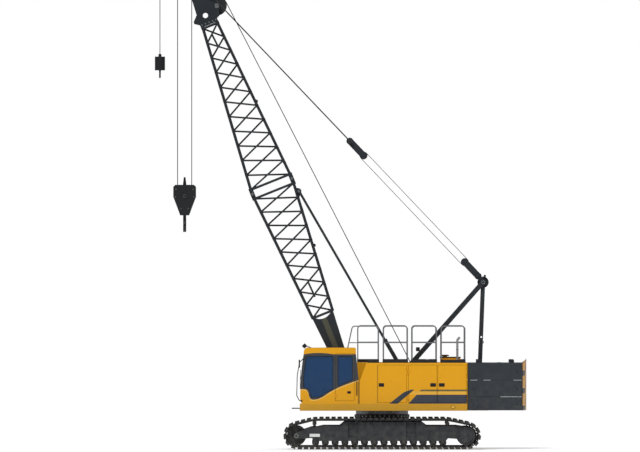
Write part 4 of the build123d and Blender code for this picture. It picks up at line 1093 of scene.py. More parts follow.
STRUCTURE = Finish("Dark grey enamel", dust_amount=0.16, **GREY_PAINT)
BOOM = LineFinish("Boom enamel", dust_amount=0.0, second=(0.072, 0.072, 0.050), start=(0.905, 1.850),
                  end=(1.680, 3.780), half_width=0.075, **GREY_PAINT)
SHOE = Finish("Rolled track steel", "track_shoes", (0.017, 0.019, 0.021), (0.034, 0.031, 0.028),
              wear=(0.16, 0.155, 0.15), wear_width=0.010, wear_amount=0.55, roughness=0.58,
              worn_roughness=0.4, metallic=0.2, specular=0.20, dust_amount=0.22, dust_height=1.2,
              coarse_depth=0.8, bump=0.15)
WHEEL = Finish("Machined wheel iron", "rollers", (0.036, 0.038, 0.040), (0.026, 0.026, 0.026),
               wear=(0.30, 0.29, 0.28), wear_amount=0.6, roughness=0.48, metallic=0.4, specular=0.25,
               dust_amount=0.2, coarse_depth=0.6, bump=0.10)
MACHINED = Finish("Oiled machined steel", "machined", (0.180, 0.180, 0.190), (0.110, 0.105, 0.100),
                  wear=(0.5, 0.5, 0.5), roughness=0.34, metallic=0.8, dust_amount=0.08, bump=0.05)
WEIGHT = LevelFinish("Counterweight enamel", "counterweight", (0.023, 0.028, 0.034),
                     (0.030, 0.036, 0.042), wear=(0.10, 0.10, 0.10), wear_width=0.010,
                     wear_amount=0.35, roughness=0.55, specular=0.20, dust_amount=0.14,
                     dust_height=2.6, fine_scale=90.0, fine_depth=0.5, coarse_depth=0.9, bump=0.14)
HOOK_BLACK = Finish("Black hook enamel", "hook_black", (0.012, 0.013, 0.014), (0.018, 0.018, 0.019),
                    wear=(0.13, 0.12, 0.11), wear_width=0.008, wear_amount=0.45, roughness=0.46,
                    dust_amount=0.0, bump=0.08)
RAIL = LevelFinish("Grey rail enamel", "rail_tube", (0.150, 0.157, 0.164), (0.120, 0.126, 0.132),
                   wear=(0.35, 0.35, 0.35), wear_amount=0.25, roughness=0.42, dust_amount=0.0,
                   bump=0.03, levels=((2.488, 2.602, (0.016, 0.017, 0.018)),))
SHEAVE = Finish("Sheave iron", "sheaves", (0.030, 0.031, 0.033), (0.050, 0.049, 0.048),
                wear=(0.32, 0.32, 0.32), wear_amount=0.6, roughness=0.45, metallic=0.4,
                specular=0.25, dust_amount=0.0, bump=0.06)
BLACK = Finish("Black moulded plastic", "structure", (0.010, 0.010, 0.011), (0.015, 0.015, 0.016),
               wear=(0.05, 0.05, 0.05), wear_amount=0.2, roughness=0.55, dust_amount=0.04,
               fine_scale=500.0, fine_depth=0.5, bump=0.08)
RUBBER = Finish("Window rubber", "structure", (0.012, 0.013, 0.014), (0.017, 0.018, 0.019),
                wear=(0.04, 0.04, 0.04), wear_amount=0.1, roughness=0.65, dust_amount=0.06,
                dust_height=2.6, bump=0.05)
BRIGHT = Finish("Bright zinc", "machined", (0.420, 0.430, 0.440), (0.300, 0.300, 0.300),
                patch_scale=20.0, roughness=0.30, metallic=0.85, dust_amount=0.08, bump=0.03)
ENGINE = Finish("Engine iron", "engine", (0.090, 0.090, 0.088), (0.060, 0.056, 0.050), roughness=0.6,
                metallic=0.3, coarse_depth=0.9, bump=0.2)
PALE = Finish("Pale grey enamel", "rail_tube", (0.430, 0.440, 0.430), (0.360, 0.370, 0.360),
              roughness=0.42, dust_amount=0.0, bump=0.03)
PLATE = Finish("Blank plate enamel", "rail_tube", (0.720, 0.720, 0.700), (0.640, 0.640, 0.620),
               roughness=0.42, dust_amount=0.12, dust_height=0.9, bump=0.02)
AMBER = Finish("Amber reflector", "hazard_board", (0.780, 0.430, 0.040), (0.700, 0.360, 0.030),
               patch_scale=40.0, roughness=0.22, coat=0.3, wear_amount=0.0, dust_amount=0.05, bump=0.02)
OLIVE = Finish("Olive rim enamel", "structure", (0.120, 0.090, 0.020), (0.100, 0.075, 0.018),
               roughness=0.5, dust_amount=0.05, bump=0.02)
HAZARD = BandedFinish("Hazard bands", "hazard_board", (0.620, 0.300, 0.022), (0.56, 0.27, 0.02),
                      wear=(0.3, 0.3, 0.3), roughness=0.38, coat=0.1, dust_amount=0.12,
                      dust_height=2.6, bump=0.03)
CLOTH = ClothFinish("Woven cloth", "seat_cloth", (0.040, 0.041, 0.045), (0.016, 0.016, 0.018),
                    wear_amount=0.0, dust_amount=0.0, roughness=0.85, worn_roughness=0.85, bump=0.35)
TREAD = TreadFinish("Anti-slip plate", "deck", (0.120, 0.120, 0.118), (0.045, 0.048, 0.050),
                    wear_amount=0.2, roughness=0.5, metallic=0.3, dust_amount=0.08, bump=0.6)
ROPE_UP = RopeFinish("Hanging wire rope", "wire_rope", (0.048, 0.048, 0.052), (0.018, 0.017, 0.016),
                     wear_amount=0.0, dust_amount=0.0, roughness=0.55, metallic=0.1, bump=0.6)
ROPE_LUFF = replace(ROPE_UP, name="Luffing wire rope", lean=0.76)
ROPE_LEAN = replace(ROPE_UP, name="Leaning wire rope", lean=-0.48)
ROPE_RUN = replace(ROPE_UP, name="Running wire rope", base=(0.060, 0.060, 0.064),
                   patch=(0.026, 0.025, 0.024), lean=0.53)
ROPE_DRUM = Finish("Oiled drum rope", "wire_rope", (0.085, 0.083, 0.080), (0.045, 0.043, 0.040),
                   patch_scale=18.0, wear_amount=0.0, dust_amount=0.0, roughness=0.45, metallic=0.5,
                   fine_scale=180.0, fine_depth=0.8, bump=0.4)
CAB_PANE = Pane("Blue tinted glass", "cab_glass", (0.014, 0.070, 0.190), transmission=0.45)
LAMP_PANE = Pane("Clear lamp glass", "cab_glass", (0.75, 0.78, 0.80), transmission=0.5)


class Crew:
    """Keeps the frame and finishes each piece: name, material and body."""

    def __init__(self, frame: dict) -> None:
        self.frame = frame
        self.nodes: dict[str, Mesh] = frame["nodes"]

    def done(self, obj: Mesh, name: str, finish: Finish | Pane, body: str,
             stands_for: tuple[str, ...] = (), smooth: float = 32.0) -> Mesh:
        """Finish one piece.

        Args:
            obj: The modelled mesh.
            name: Plain name of the piece.
            finish: Its finish.
            body: Moving body that it rides on, or "" for a piece between two bodies, left on neither.
            stands_for: CAD nodes that it replaces.
            smooth: Angle in degrees under which its edges are shaded smooth.

        Returns:
            The finished piece.
        """
        Bench.smooth(obj, smooth)
        obj.name = name
        obj.data.name = name
        obj.data.materials.clear()
        obj.data.materials.append(finish.material())
        if body:
            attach(obj, body)
        if stands_for:
            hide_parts(*stands_for)
        log.info("%s on %s", name, body)
        return obj

    def refined(self, node: str, finish: Finish | Pane, bevel: float = 0.0, segments: int = 2,
                angle: float = 34.0, fixed: bool = True) -> Mesh:
        """Rounded and smoothly shaded stand-in for a CAD node, of the same form.

        Args:
            node: Name of the node.
            finish: Finish of the stand-in.
            bevel: Width of its rounded edges, or 0 for none.
            segments: Steps in each rounded edge.
            angle: Angle in degrees that counts as an edge.
            fixed: Whether it rides on the node's body.

        Returns:
            The stand-in.
        """
        source = self.nodes[node]
        obj = bpy.data.objects.new(f"{node}_skin", source.data.copy())
        bpy.context.scene.collection.objects.link(obj)
        Bench.pick(obj)
        bpy.ops.mesh.customdata_custom_splitnormals_clear()
        bpy.ops.object.mode_set(mode="EDIT")
        bpy.ops.mesh.select_all(action="SELECT")
        bpy.ops.mesh.remove_doubles(threshold=1e-5)
        bpy.ops.mesh.dissolve_limited(angle_limit=math.radians(0.4))
        bpy.ops.object.mode_set(mode="OBJECT")
        if bevel:
            Bench.round_edges(obj, bevel, segments, angle)
        body = source["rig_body"] if fixed else ""
        return self.done(obj, f"{node}_skin", finish, body, (node,), angle)


@dataclass
class Studio:
    """Camera at the photograph's angle, pale floor and level light."""

    aim: Point = (1.798, 0.0, 6.458)
    frame_width: float = 18.56
    lens: float = 1200.0
    sensor: float = 36.0
    floor_reach: float = 26.0

    def camera(self) -> None:
        """Set a long lens square to the crane's left side."""
        data = bpy.data.cameras.new("Studio camera")
        camera = bpy.data.objects.new("Studio camera", data)
        bpy.context.scene.collection.objects.link(camera)
        data.lens = self.lens
        data.sensor_width = self.sensor
        distance = self.frame_width * self.lens / self.sensor
        data.clip_start = 1.0
        data.clip_end = distance * 3
        camera.location = (self.aim[0], self.aim[1] + distance, self.aim[2])
        camera.rotation_euler = (math.pi / 2, 0.0, math.pi)
        bpy.context.scene.camera = camera

    def lights(self) -> None:
        """Level world light with a soft sun from each side."""
        world = bpy.data.worlds.new("Studio world")
        world.use_nodes = True
        bpy.context.scene.world = world
        wires = Wiring(world.node_tree)
        background = world.node_tree.nodes["Background"]
        output = world.node_tree.nodes["World Output"]
        background.inputs["Color"].default_value = (0.92, 0.95, 1.0, 1.0)
        background.inputs["Strength"].default_value = 0.42
        white = wires.add("ShaderNodeBackground")
        white.inputs["Color"].default_value = (1.0, 1.0, 1.0, 1.0)
        path = wires.add("ShaderNodeLightPath")
        seen = wires.math("MAXIMUM", path.outputs["Is Camera Ray"],
                          path.outputs["Is Transmission Ray"])
        mix = wires.add("ShaderNodeMixShader")
        wires.link(seen, mix.inputs[0])
        wires.link(background.outputs[0], mix.inputs[1])
        wires.link(white.outputs[0], mix.inputs[2])
        wires.link(mix.outputs[0], output.inputs["Surface"])
        for name, turn, energy in (("Key sun", (0.80, 0.15, 2.75), 1.75),
                                   ("Fill sun", (0.95, 0.0, -0.6), 0.9)):
            data = bpy.data.lights.new(name, "SUN")
            data.energy = energy
            data.angle = 0.35
            lamp = bpy.data.objects.new(name, data)
            bpy.context.scene.collection.objects.link(lamp)
            lamp.rotation_euler = turn

    def floor(self) -> None:
        """Lay a pale floor that stays white to the camera."""
        Bench.clear()
        bpy.ops.mesh.primitive_circle_add(vertices=96, radius=self.floor_reach, fill_type="NGON",
                                          location=(self.aim[0], 0.0, -0.002))
        floor = Bench.settle(bpy.context.object)
        floor.name = "Studio floor"
        material, _, shader = new_material("Studio floor")
        shader.inputs["Base Color"].default_value = (0.93, 0.93, 0.93, 1.0)
        shader.inputs["Roughness"].default_value = 0.9
        shader.inputs["Emission Color"].default_value = (1.0, 1.0, 1.0, 1.0)
        shader.inputs["Emission Strength"].default_value = 0.22
        floor.data.materials.append(material)

    def build(self) -> None:
        """Set up the whole studio."""
        bpy.context.scene.view_settings.view_transform = "Standard"
        self.camera()
        self.lights()
        self.floor()


@dataclass
class Track:
    """Crawler track: shoes on their links, as one loop on each side."""

    gauge: float = 3.590
    shoe_width: float = 0.760
    pitch: float = 0.176
    depth: float = 0.095
    gap: float = 0.050
    wheel_base: float = 4.954
    wrap: float = 0.294
    carriers: tuple[Flat, Flat] = ((1.957, 0.748), (-1.886, 0.748))
    carrier_wrap: float = 0.070

    def circles(self) -> list[tuple[float, float, float]]:
        """Wheels that the loop goes round.

        Returns:
            Their places and radii, as (x, z, radius).
        """
        wheel_z = self.depth + self.wrap
        ends = [(-self.wheel_base / 2, wheel_z, self.wrap), (self.wheel_base / 2, wheel_z, self.wrap)]
        return ends + [(x, z, self.carrier_wrap) for x, z in self.carriers]

    def pins(self) -> list[Flat]:
        """Link pins at equal steps round the loop.

        Returns:
            The pins' places as (x, z).
        """
        circles = self.circles()
        normals = []
        for (x0, z0, r0), (x1, z1, r1) in zip(circles, circles[1:] + circles[:1]):
            run = math.hypot(x1 - x0, z1 - z0)
            normals.append(math.atan2(z1 - z0, x1 - x0) - math.acos((r0 - r1) / run))
        stretches = []
        for i, (x, z, r) in enumerate(circles):
            start, end = normals[i - 1], normals[i]
            stretches.append((r * ((end - start) % math.tau), (x, z), r, start))
            x1, z1, r1 = circles[(i + 1) % len(circles)]
            leave = Vector((x + r * math.cos(end), z + r * math.sin(end)))
            meet = Vector((x1 + r1 * math.cos(end), z1 + r1 * math.sin(end)))
            stretches.append(((meet - leave).length, leave, meet, None))
        length = sum(s[0] for s in stretches)
        count = round(length / self.pitch)
        pins = []
        for i in range(count):
            along = i * length / count
            for stretch in stretches:
                if along <= stretch[0]:
                    break
                along -= stretch[0]
            reach, first, second, start = stretch
            if start is None:
                pins.append(tuple(first.lerp(second, along / reach)))
            else:
                angle = start + along / second
                pins.append((first[0] + second * math.cos(angle), first[1] + second * math.sin(angle)))
        return pins

    def shoe(self, run: float) -> Mesh:
        """One shoe with its links, drawn from the origin along +X with the ground side down.

        Args:
            run: Distance between its two pins.

        Returns:
            The shoe.
        """
        half = self.shoe_width / 2
        pad_top = -0.030
        pad = Bench.block((self.gap / 2, -half, -self.depth), (run - self.gap / 2, half, pad_top))
        Bench.pick(pad)
        bpy.ops.object.mode_set(mode="EDIT")
        bpy.ops.mesh.select_mode(type="FACE")
        bpy.ops.mesh.select_all(action="DESELECT")
        bpy.ops.object.mode_set(mode="OBJECT")
        for face in pad.data.polygons:
            face.select = face.normal.z < -0.9
        bpy.ops.object.mode_set(mode="EDIT")
        bpy.ops.mesh.inset(thickness=0.022, depth=0.0)
        bpy.ops.mesh.inset(thickness=0.010, depth=-0.012)
        bpy.ops.object.mode_set(mode="OBJECT")
        Bench.round_edges(pad, 0.006, 1, 40.0)
        parts = [pad]
        for y in (-0.285, 0.0, 0.285):
            parts.append(Bench.block((0.030, y - 0.016, -self.depth + 0.001),
                                     (run - 0.030, y + 0.016, -self.depth + 0.014)))
        for y in (-0.118, 0.118):
            parts.append(Bench.block((-0.022, y - 0.020, pad_top - 0.004),
                                     (run * 0.62, y + 0.020, -0.004)))
        for y in (-0.072, 0.072):
            parts.append(Bench.block((run * 0.40, y - 0.018, pad_top - 0.004),
                                     (run + 0.022, y + 0.018, -0.004)))
        parts.append(Bench.bar((0.0, -0.150, -0.026), (0.0, 0.150, -0.026), 0.019, 10))
        for y in (-half + 0.040, half - 0.040):
            parts.append(Bench.block((run / 2 - 0.030, y - 0.028, pad_top - 0.002),
                                     (run / 2 + 0.030, y + 0.028, -0.018), 0.004, 1))
        return Bench.join(parts)

    def build(self, crew: Crew) -> None:
        """Make both loops from copies of one shoe.

        Args:
            crew: Finisher of pieces.
        """
        pins = self.pins()
        run = max((Vector(b) - Vector(a)).length for a, b in zip(pins, pins[1:] + pins[:1]))
        shoe = self.shoe(run)
        for side in Side:
            y = side.value * self.gauge / 2
            copies = []
            for (x0, z0), (x1, z1) in zip(pins, pins[1:] + pins[:1]):
                turn = Matrix.Rotation(-math.atan2(z1 - z0, x1 - x0), 4, "Y")
                copies.append(Bench.copy(shoe, Matrix.Translation((x0, y, z0)) @ turn))
            loop = Bench.join(copies)
            crew.done(loop, f"track_shoes_{side.word}", SHOE, "undercarriage", (f"track_{side.word}",))
        bpy.data.objects.remove(shoe)


# Shafts and pins in the crane's middle plane, as (x, z), and the auxiliary rope's x
TIP_SHAFT: Flat = (5.722924, 13.496897)
BLOCK_SHAFT: Flat = (5.722924, 7.323)
FRONT_SHAFT: Flat = (6.234346, 13.937972)
DEFLECTOR_SHAFT: Flat = (4.786087, 12.84746)
SPREADER_PIN: Flat = (-2.787, 5.005)
AUXILIARY_X = 6.43965


@dataclass
class Trim:
    """Base of the sub-assemblies: small pieces gathered by body and finish."""

    crew: Crew

    def add(self, name: str, parts: list[Mesh], finish: Finish | Pane, body: str = "upperworks",
            smooth: float = 32.0) -> Mesh:
        """Join loose parts into one finished piece on a body."""
        return self.crew.done(Bench.join(parts), name, finish, body, (), smooth)

    @staticmethod
    def bolt(place: Point, axis: Point, radius: float = 0.016, height: float = 0.014) -> Mesh:
        """Six-sided bolt head on its washer.

        Args:
            place: Point on the surface under the bolt.
            axis: Direction that the head points.
            radius: Radius of the head.
            height: Height of the head.

        Returns:
            The bolt.
        """
        along = Vector(axis).normalized()
        start = Vector(place)
        washer = Bench.bar(start - along * 0.002, start + along * 0.004, radius * 1.4, 12)
        head = Bench.bar(start, start + along * height, radius, 6, radius * 0.12)
        return Bench.join([washer, head])

    @staticmethod
    def bolt_ring(centre: Point, axis: Point, ring: float, count: int, radius: float = 0.016,
                  height: float = 0.014) -> list[Mesh]:
        """Bolts at equal steps on a circle.

        Args:
            centre: Middle of the circle, on the surface.
            axis: Direction that the heads point.
            ring: Radius of the circle.
            count: Number of bolts.
            radius: Radius of a head.
            height: Height of a head.

        Returns:
            The bolts.
        """
        along = Vector(axis).normalized()
        first = Trim.bolt(Vector(centre) + along.orthogonal().normalized() * ring, axis, radius, height)
        to_centre = Matrix.Translation(Vector(centre))
        turns = [to_centre @ Matrix.Rotation(math.tau * i / count, 4, along) @ to_centre.inverted()
                 for i in range(count)]
        bolts = [Bench.copy(first, turn) for turn in turns]
        bpy.data.objects.remove(first)
        return bolts

    @staticmethod
    def cap(place: Point, axis: Point, edge: Flat, top: Flat, steps: int, foot: float = 0.0) -> Mesh:
        """Round cap, from its foot to a chamfer between edge and top, each as (radius, height)."""
        profile = [(0.0, foot), (edge[0], foot), edge, top, (0.0, top[1])]
        return Bench.turned(profile, place, axis, steps)

    @staticmethod
    def collar(place: Point, axis: Point, inner: float, outer: float, reach: float, steps: int) -> Mesh:
        """Plain band round an axis, between two radii and up to reach on both sides of a place."""
        profile = [(inner, -reach), (outer, -reach), (outer, reach), (inner, reach), (inner, -reach)]
        return Bench.turned(profile, place, axis, steps)


@dataclass
class UndercarriageTrim(Trim):
    """Drive cover and idler details, frame edges, blank plates and slew ring bolts."""

    drive: Flat = (-2.417, 0.389)
    cover_y: float = 2.065
    hub_y: float = 2.100
    idler: Flat = (2.477, 0.389)
    idler_y: float = 1.996
    rollers: tuple[float, ...] = tuple(1.926 - i * 3.681 / 13 for i in range(14))
    roller_y: float = 1.995
    roller_z: float = 0.203
    beam_x: float = 0.840
    beam_z: float = 0.615
    flange_y: float = 1.9255
    frame_top: float = 0.790
    ring_bolts: int = 36
    ring_radii: Flat = (0.794, 0.754)
    ring_levels: Flat = (0.950, 1.060)

    def build(self) -> None:
        """Make the details of both sides."""
        body = "undercarriage"
        dark, bright, caps, plates = [], [], [], []
        for sign in (1, -1):
            out = (0, sign, 0)
            x, z = self.drive
            dark += self.bolt_ring((x, sign * self.cover_y, z), out, 0.236, 14, 0.012, 0.009)
            dark += self.bolt_ring((x, sign * self.hub_y, z), out, 0.120, 6, 0.011, 0.008)
            dark.append(self.cap((x, sign * (self.hub_y - 0.006), z), out, (0.060, 0.010), (0.048, 0.016),
                                 28, -0.006))
            x, z = self.idler
            caps.append(Bench.turned([(0.0, -0.01), (0.082, -0.01), (0.086, 0.010), (0.070, 0.024),
                                      (0.0, 0.026)], (x, sign * self.idler_y, z), out, 28))
            bright += self.bolt_ring((x, sign * (self.idler_y + 0.025), z), out, 0.055, 6, 0.010, 0.008)
            for x in self.rollers:
                caps.append(Bench.turned([(0.0, -0.004), (0.034, -0.004), (0.034, 0.006), (0.026, 0.012),
                                          (0.0, 0.013)], (x, sign * self.roller_y, self.roller_z), out, 16))
            for x in (-self.beam_x, self.beam_x):
                for dx, dz in ((-0.110, 0.120), (0.110, 0.120), (-0.110, -0.120), (0.110, -0.120)):
                    dark.append(self.bolt((x + dx, sign * self.flange_y, self.beam_z + dz), out, 0.018,
                                          0.016))
            dark.append(Bench.block((-1.10, sign * 1.905, 0.770), (1.06, sign * 2.000, 0.792), 0.004, 1))
            for low, high in ((1.33, 1.62), (-2.05, -1.30)):
                dark.append(Bench.block((low, sign * 1.990, 0.530), (high, sign * 2.004, 0.546), 0.003, 1))
            plates.append(Bench.block((1.800, sign * 1.992, 0.362), (2.100, sign * 2.001, 0.450), 0.003, 1))
        self.add("track_frame_bolts", dark, STRUCTURE, body)
        self.add("idler_cap_bolts", bright, BRIGHT, body)
        self.add("wheel_shaft_caps", caps, WHEEL, body)
        self.add("blank_frame_plates", plates, PLATE, body)
        self.ring()
        self.steps()

    def ring(self) -> None:
        """Bolts round the slew ring's lower half, and every other one round its upper half."""
        low, high = [], []
        for i in range(self.ring_bolts):
            angle = math.tau * (i + 0.5) / self.ring_bolts
            x, y = math.cos(angle), math.sin(angle)
            r = self.ring_radii[0]
            low.append(self.bolt((x * r, y * r, self.ring_levels[0]), (x, y, 0), 0.013, 0.011))
            if i % 2:
                r = self.ring_radii[1]
                high.append(self.bolt((x * r, y * r, self.ring_levels[1]), (x, y, 0), 0.012, 0.010))
        self.add("slew_ring_lower_bolts", low, BRIGHT, "undercarriage")
        self.add("slew_ring_upper_bolts", high, BRIGHT)

    def steps(self) -> None:
        """Tread plates on the side frames, where the crew climbs up."""
        z = self.frame_top
        pads = []
        for sign in (1, -1):
            for low, high in ((-1.00, -0.10), (0.10, 1.00)):
                pads.append(Bench.block((low, sign * 1.640, z), (high, sign * 1.900, z + 0.006), 0.002, 1))
        self.add("side_frame_tread_plates", pads, TREAD, "undercarriage")


@dataclass
class CabTrim(Trim):
    """Window rubbers, wiper, door handle, lamp and mirror glass, seat and levers."""

    side_window: tuple[Point, ...] = (
        (1.410, 1.745, 0.03), (1.812, 1.500, 0.10), (2.060, 1.490, 0.05), (2.130, 1.740, 0.04),
        (2.290, 1.780, 0.03), (2.277, 2.200, 0.05), (2.205, 2.700, 0.05), (1.410, 2.700, 0.04))
    door_window: tuple[Point, ...] = (
        (0.850, 2.000, 0.04), (1.290, 1.815, 0.04), (1.290, 2.700, 0.04), (0.850, 2.700, 0.04))
    rubber_y: Flat = (1.592, 1.603)
    rubber_width: float = 0.016
    lamp_place: Point = (2.2815, 1.480, 2.9515)
    lamp_tilt: float = 135.0
    roof_z: float = 2.932
    seat_y: float = 1.145
    console_y: float = 0.285
    swell: float = 0.020
    voxel: float = 0.018

    def build(self) -> None:
        """Make every cab detail."""
        for name, window, body in (("cab_window_rubber", self.side_window, "upperworks"),
                                   ("cab_door_rubber", self.door_window, "cab_door")):
            rubber = Bench.ring(Bench.outline(window), self.rubber_y, self.rubber_width)
            self.add(name, [rubber], RUBBER, body)
        handle = [Bench.block((0.905, 1.596, 1.610), (1.010, 1.606, 1.680), 0.006, 2),
                  Bench.pipe([(0.920, 1.603, 1.662), (0.920, 1.632, 1.662), (0.995, 1.632, 1.662),
                              (0.995, 1.603, 1.662)], 0.008)]
        self.add("cab_door_handle", handle, BLACK, "cab_door")
        self.lamp()
        self.wiper()
        self.roof()
        self.seat()
        self.levers()

    def lamp(self) -> None:
        """Lens of the work lamp, glass of the mirror and grip of the step."""
        lens = Bench.block((-0.040, -0.040, 0.0), (0.040, 0.040, 0.012), 0.003, 1)
        turn = Matrix.Rotation(math.radians(self.lamp_tilt), 4, "Y")
        lens.data.transform(Matrix.Translation(self.lamp_place) @ turn)
        self.add("work_lamp_glass", [lens], LAMP_PANE)
        mirror = Bench.block((2.374, 1.640, 2.372), (2.381, 1.778, 2.576), 0.002, 1)
        self.add("mirror_glass", [mirror], BRIGHT)
        grip = Bench.block((2.36, 1.20, 1.1955), (2.60, 1.52, 1.1985), 0.001, 1)
        self.add("cab_step_grip", [grip], TREAD)

    def wiper(self) -> None:
        """Wiper on the front window and the grab rail beside the door."""
        parts = [Bench.pipe([(2.372, 1.145, 1.790), (2.372, 1.180, 1.960), (2.360, 1.300, 2.300)], 0.007),
                 Bench.bar((2.378, 1.145, 1.765), (2.356, 1.145, 1.765), 0.022, 16),
                 Bench.block((2.340, 1.290, 2.020), (2.372, 1.302, 2.100), 0.002, 1)]
        rail = Bench.pipe([(0.735, 1.600, 1.560), (0.735, 1.640, 1.560), (0.735, 1.640, 1.960),
                           (0.735, 1.600, 1.960)], 0.012)
        self.add("cab_wiper", parts, BLACK)
        self.add("cab_grab_rail", [rail], BLACK)

    def roof(self) -> None:
        """Hatch on the cab's roof, and the seam in front of its door."""
        z = self.roof_z
        hatch = Bench.block((1.08, 0.90, z), (1.62, 1.38, z + 0.012), 0.004, 2)
        self.add("cab_roof_hatch", [hatch], RUBBER)
        self.add("cab_seams", [Bench.block((0.690, 1.5995, 1.322), (0.700, 1.6015, 1.985))], OLIVE)

    def cushion(self, low: Point, high: Point, name: str, fill: float) -> None:
        """Upholstered cushion, blown up as cloth and then left as a plain form.

        Args:
            low: Lowest corner of the cushion's box.
            high: Highest corner.
            name: Name of the piece.
            fill: How firmly it is filled; not used.
        """
        core = Bench.block(tuple(v + self.swell for v in low), tuple(v - self.swell for v in high),
                           0.022, 3)
        Bench.modified(core, "REMESH", mode="VOXEL", voxel_size=self.voxel)
        rest = [vertex.co.copy() for vertex in core.data.vertices]
        bpy.ops.object.modifier_add(type="CLOTH")
        cloth = core.modifiers[-1]
        cloth.settings.use_pressure = True
        cloth.settings.uniform_pressure_force = 4.0
        cloth.settings.quality = 4
        cloth.settings.effector_weights.gravity = 0.0
        cloth.collision_settings.use_collision = False
        cloth.point_cache.frame_start = 1
        cloth.point_cache.frame_end = 20
        scene = bpy.context.scene
        for step in range(1, 13):
            scene.frame_set(step)
        bpy.ops.object.modifier_apply(modifier=cloth.name)
        scene.frame_set(1)
        for vertex, start in zip(core.data.vertices, rest):
            move = vertex.co - start
            if move.length > self.swell:
                vertex.co = start + move.normalized() * self.swell
        Bench.modified(core, "SUBSURF", levels=1)
        self.crew.done(core, name, CLOTH, "upperworks", (), 60.0)

    def seat(self) -> None:
        """Operator seat with cushions, headrest, shell, bellows on its pedestal and consoles."""
        y = self.seat_y
        shell = [Bench.block((1.150, y - 0.150, 1.359), (1.450, y + 0.150, 1.420), 0.010, 2),
                 Bench.block((1.190, y - 0.110, 1.415), (1.410, y + 0.110, 1.640), 0.012, 2),
                 Bench.block((1.080, y - 0.215, 1.640), (1.530, y + 0.215, 1.700), 0.014, 2),
                 Bench.block((1.004, y - 0.205, 1.720), (1.050, y + 0.205, 2.200), 0.018, 3)]
        for i in range(5):
            grow, z = i * 0.004, 1.440 + i * 0.038
            shell.append(Bench.block((1.180 - grow, y - 0.125 - grow, z),
                                     (1.420 + grow, y + 0.125 + grow, z + 0.018), 0.006, 1))
        for sign in (1, -1):
            middle = y + sign * self.console_y
            shell.append(Bench.block((1.255, middle - 0.040, 1.655), (1.645, middle + 0.040, 1.900),
                                     0.020, 3))
            shell.append(Bench.bar((1.560, middle, 1.890), (1.575, middle, 1.945), 0.022, 16, 0.004))
        self.crew.done(Bench.join(shell), "operator_seat_frame", BLACK, "upperworks", ("operator_seat",))
        self.cushion((1.052, y - 0.245, 1.692), (1.556, y + 0.245, 1.818), "operator_cushion", 0.7)
        self.cushion((1.030, y - 0.235, 1.790), (1.118, y + 0.235, 2.180), "operator_backrest", 0.6)
        self.cushion((1.030, y - 0.130, 2.190), (1.112, y + 0.130, 2.345), "operator_headrest", 0.6)

    def levers(self) -> None:
        """Control levers, pedals and a display beside the seat."""
        y = self.seat_y
        parts = []
        for sign in (1, -1):
            grip_y = y + sign * 0.280
            for dx in (0.0, 0.075):
                foot = (1.430 + dx, y + sign * self.console_y, 1.895)
                parts.append(Bench.bar(foot, (1.450 + dx, grip_y, 1.936), 0.008, 10))
                parts.append(Bench.bar((1.447 + dx, grip_y, 1.925), (1.452 + dx, grip_y, 1.948), 0.016, 14,
                                       0.004))
        for middle in (y - 0.16, y + 0.16):
            parts.append(Bench.block((1.900, middle - 0.050, 1.362), (2.080, middle + 0.050, 1.392),
                                     0.006, 2))
        parts.append(Bench.block((2.020, y - 0.360, 1.362), (2.060, y - 0.320, 1.900), 0.006, 1))
        parts.append(Bench.block((2.010, y - 0.420, 1.880), (2.040, y - 0.260, 2.010), 0.006, 2))
        self.add("cab_levers_and_pedals", parts, BLACK)


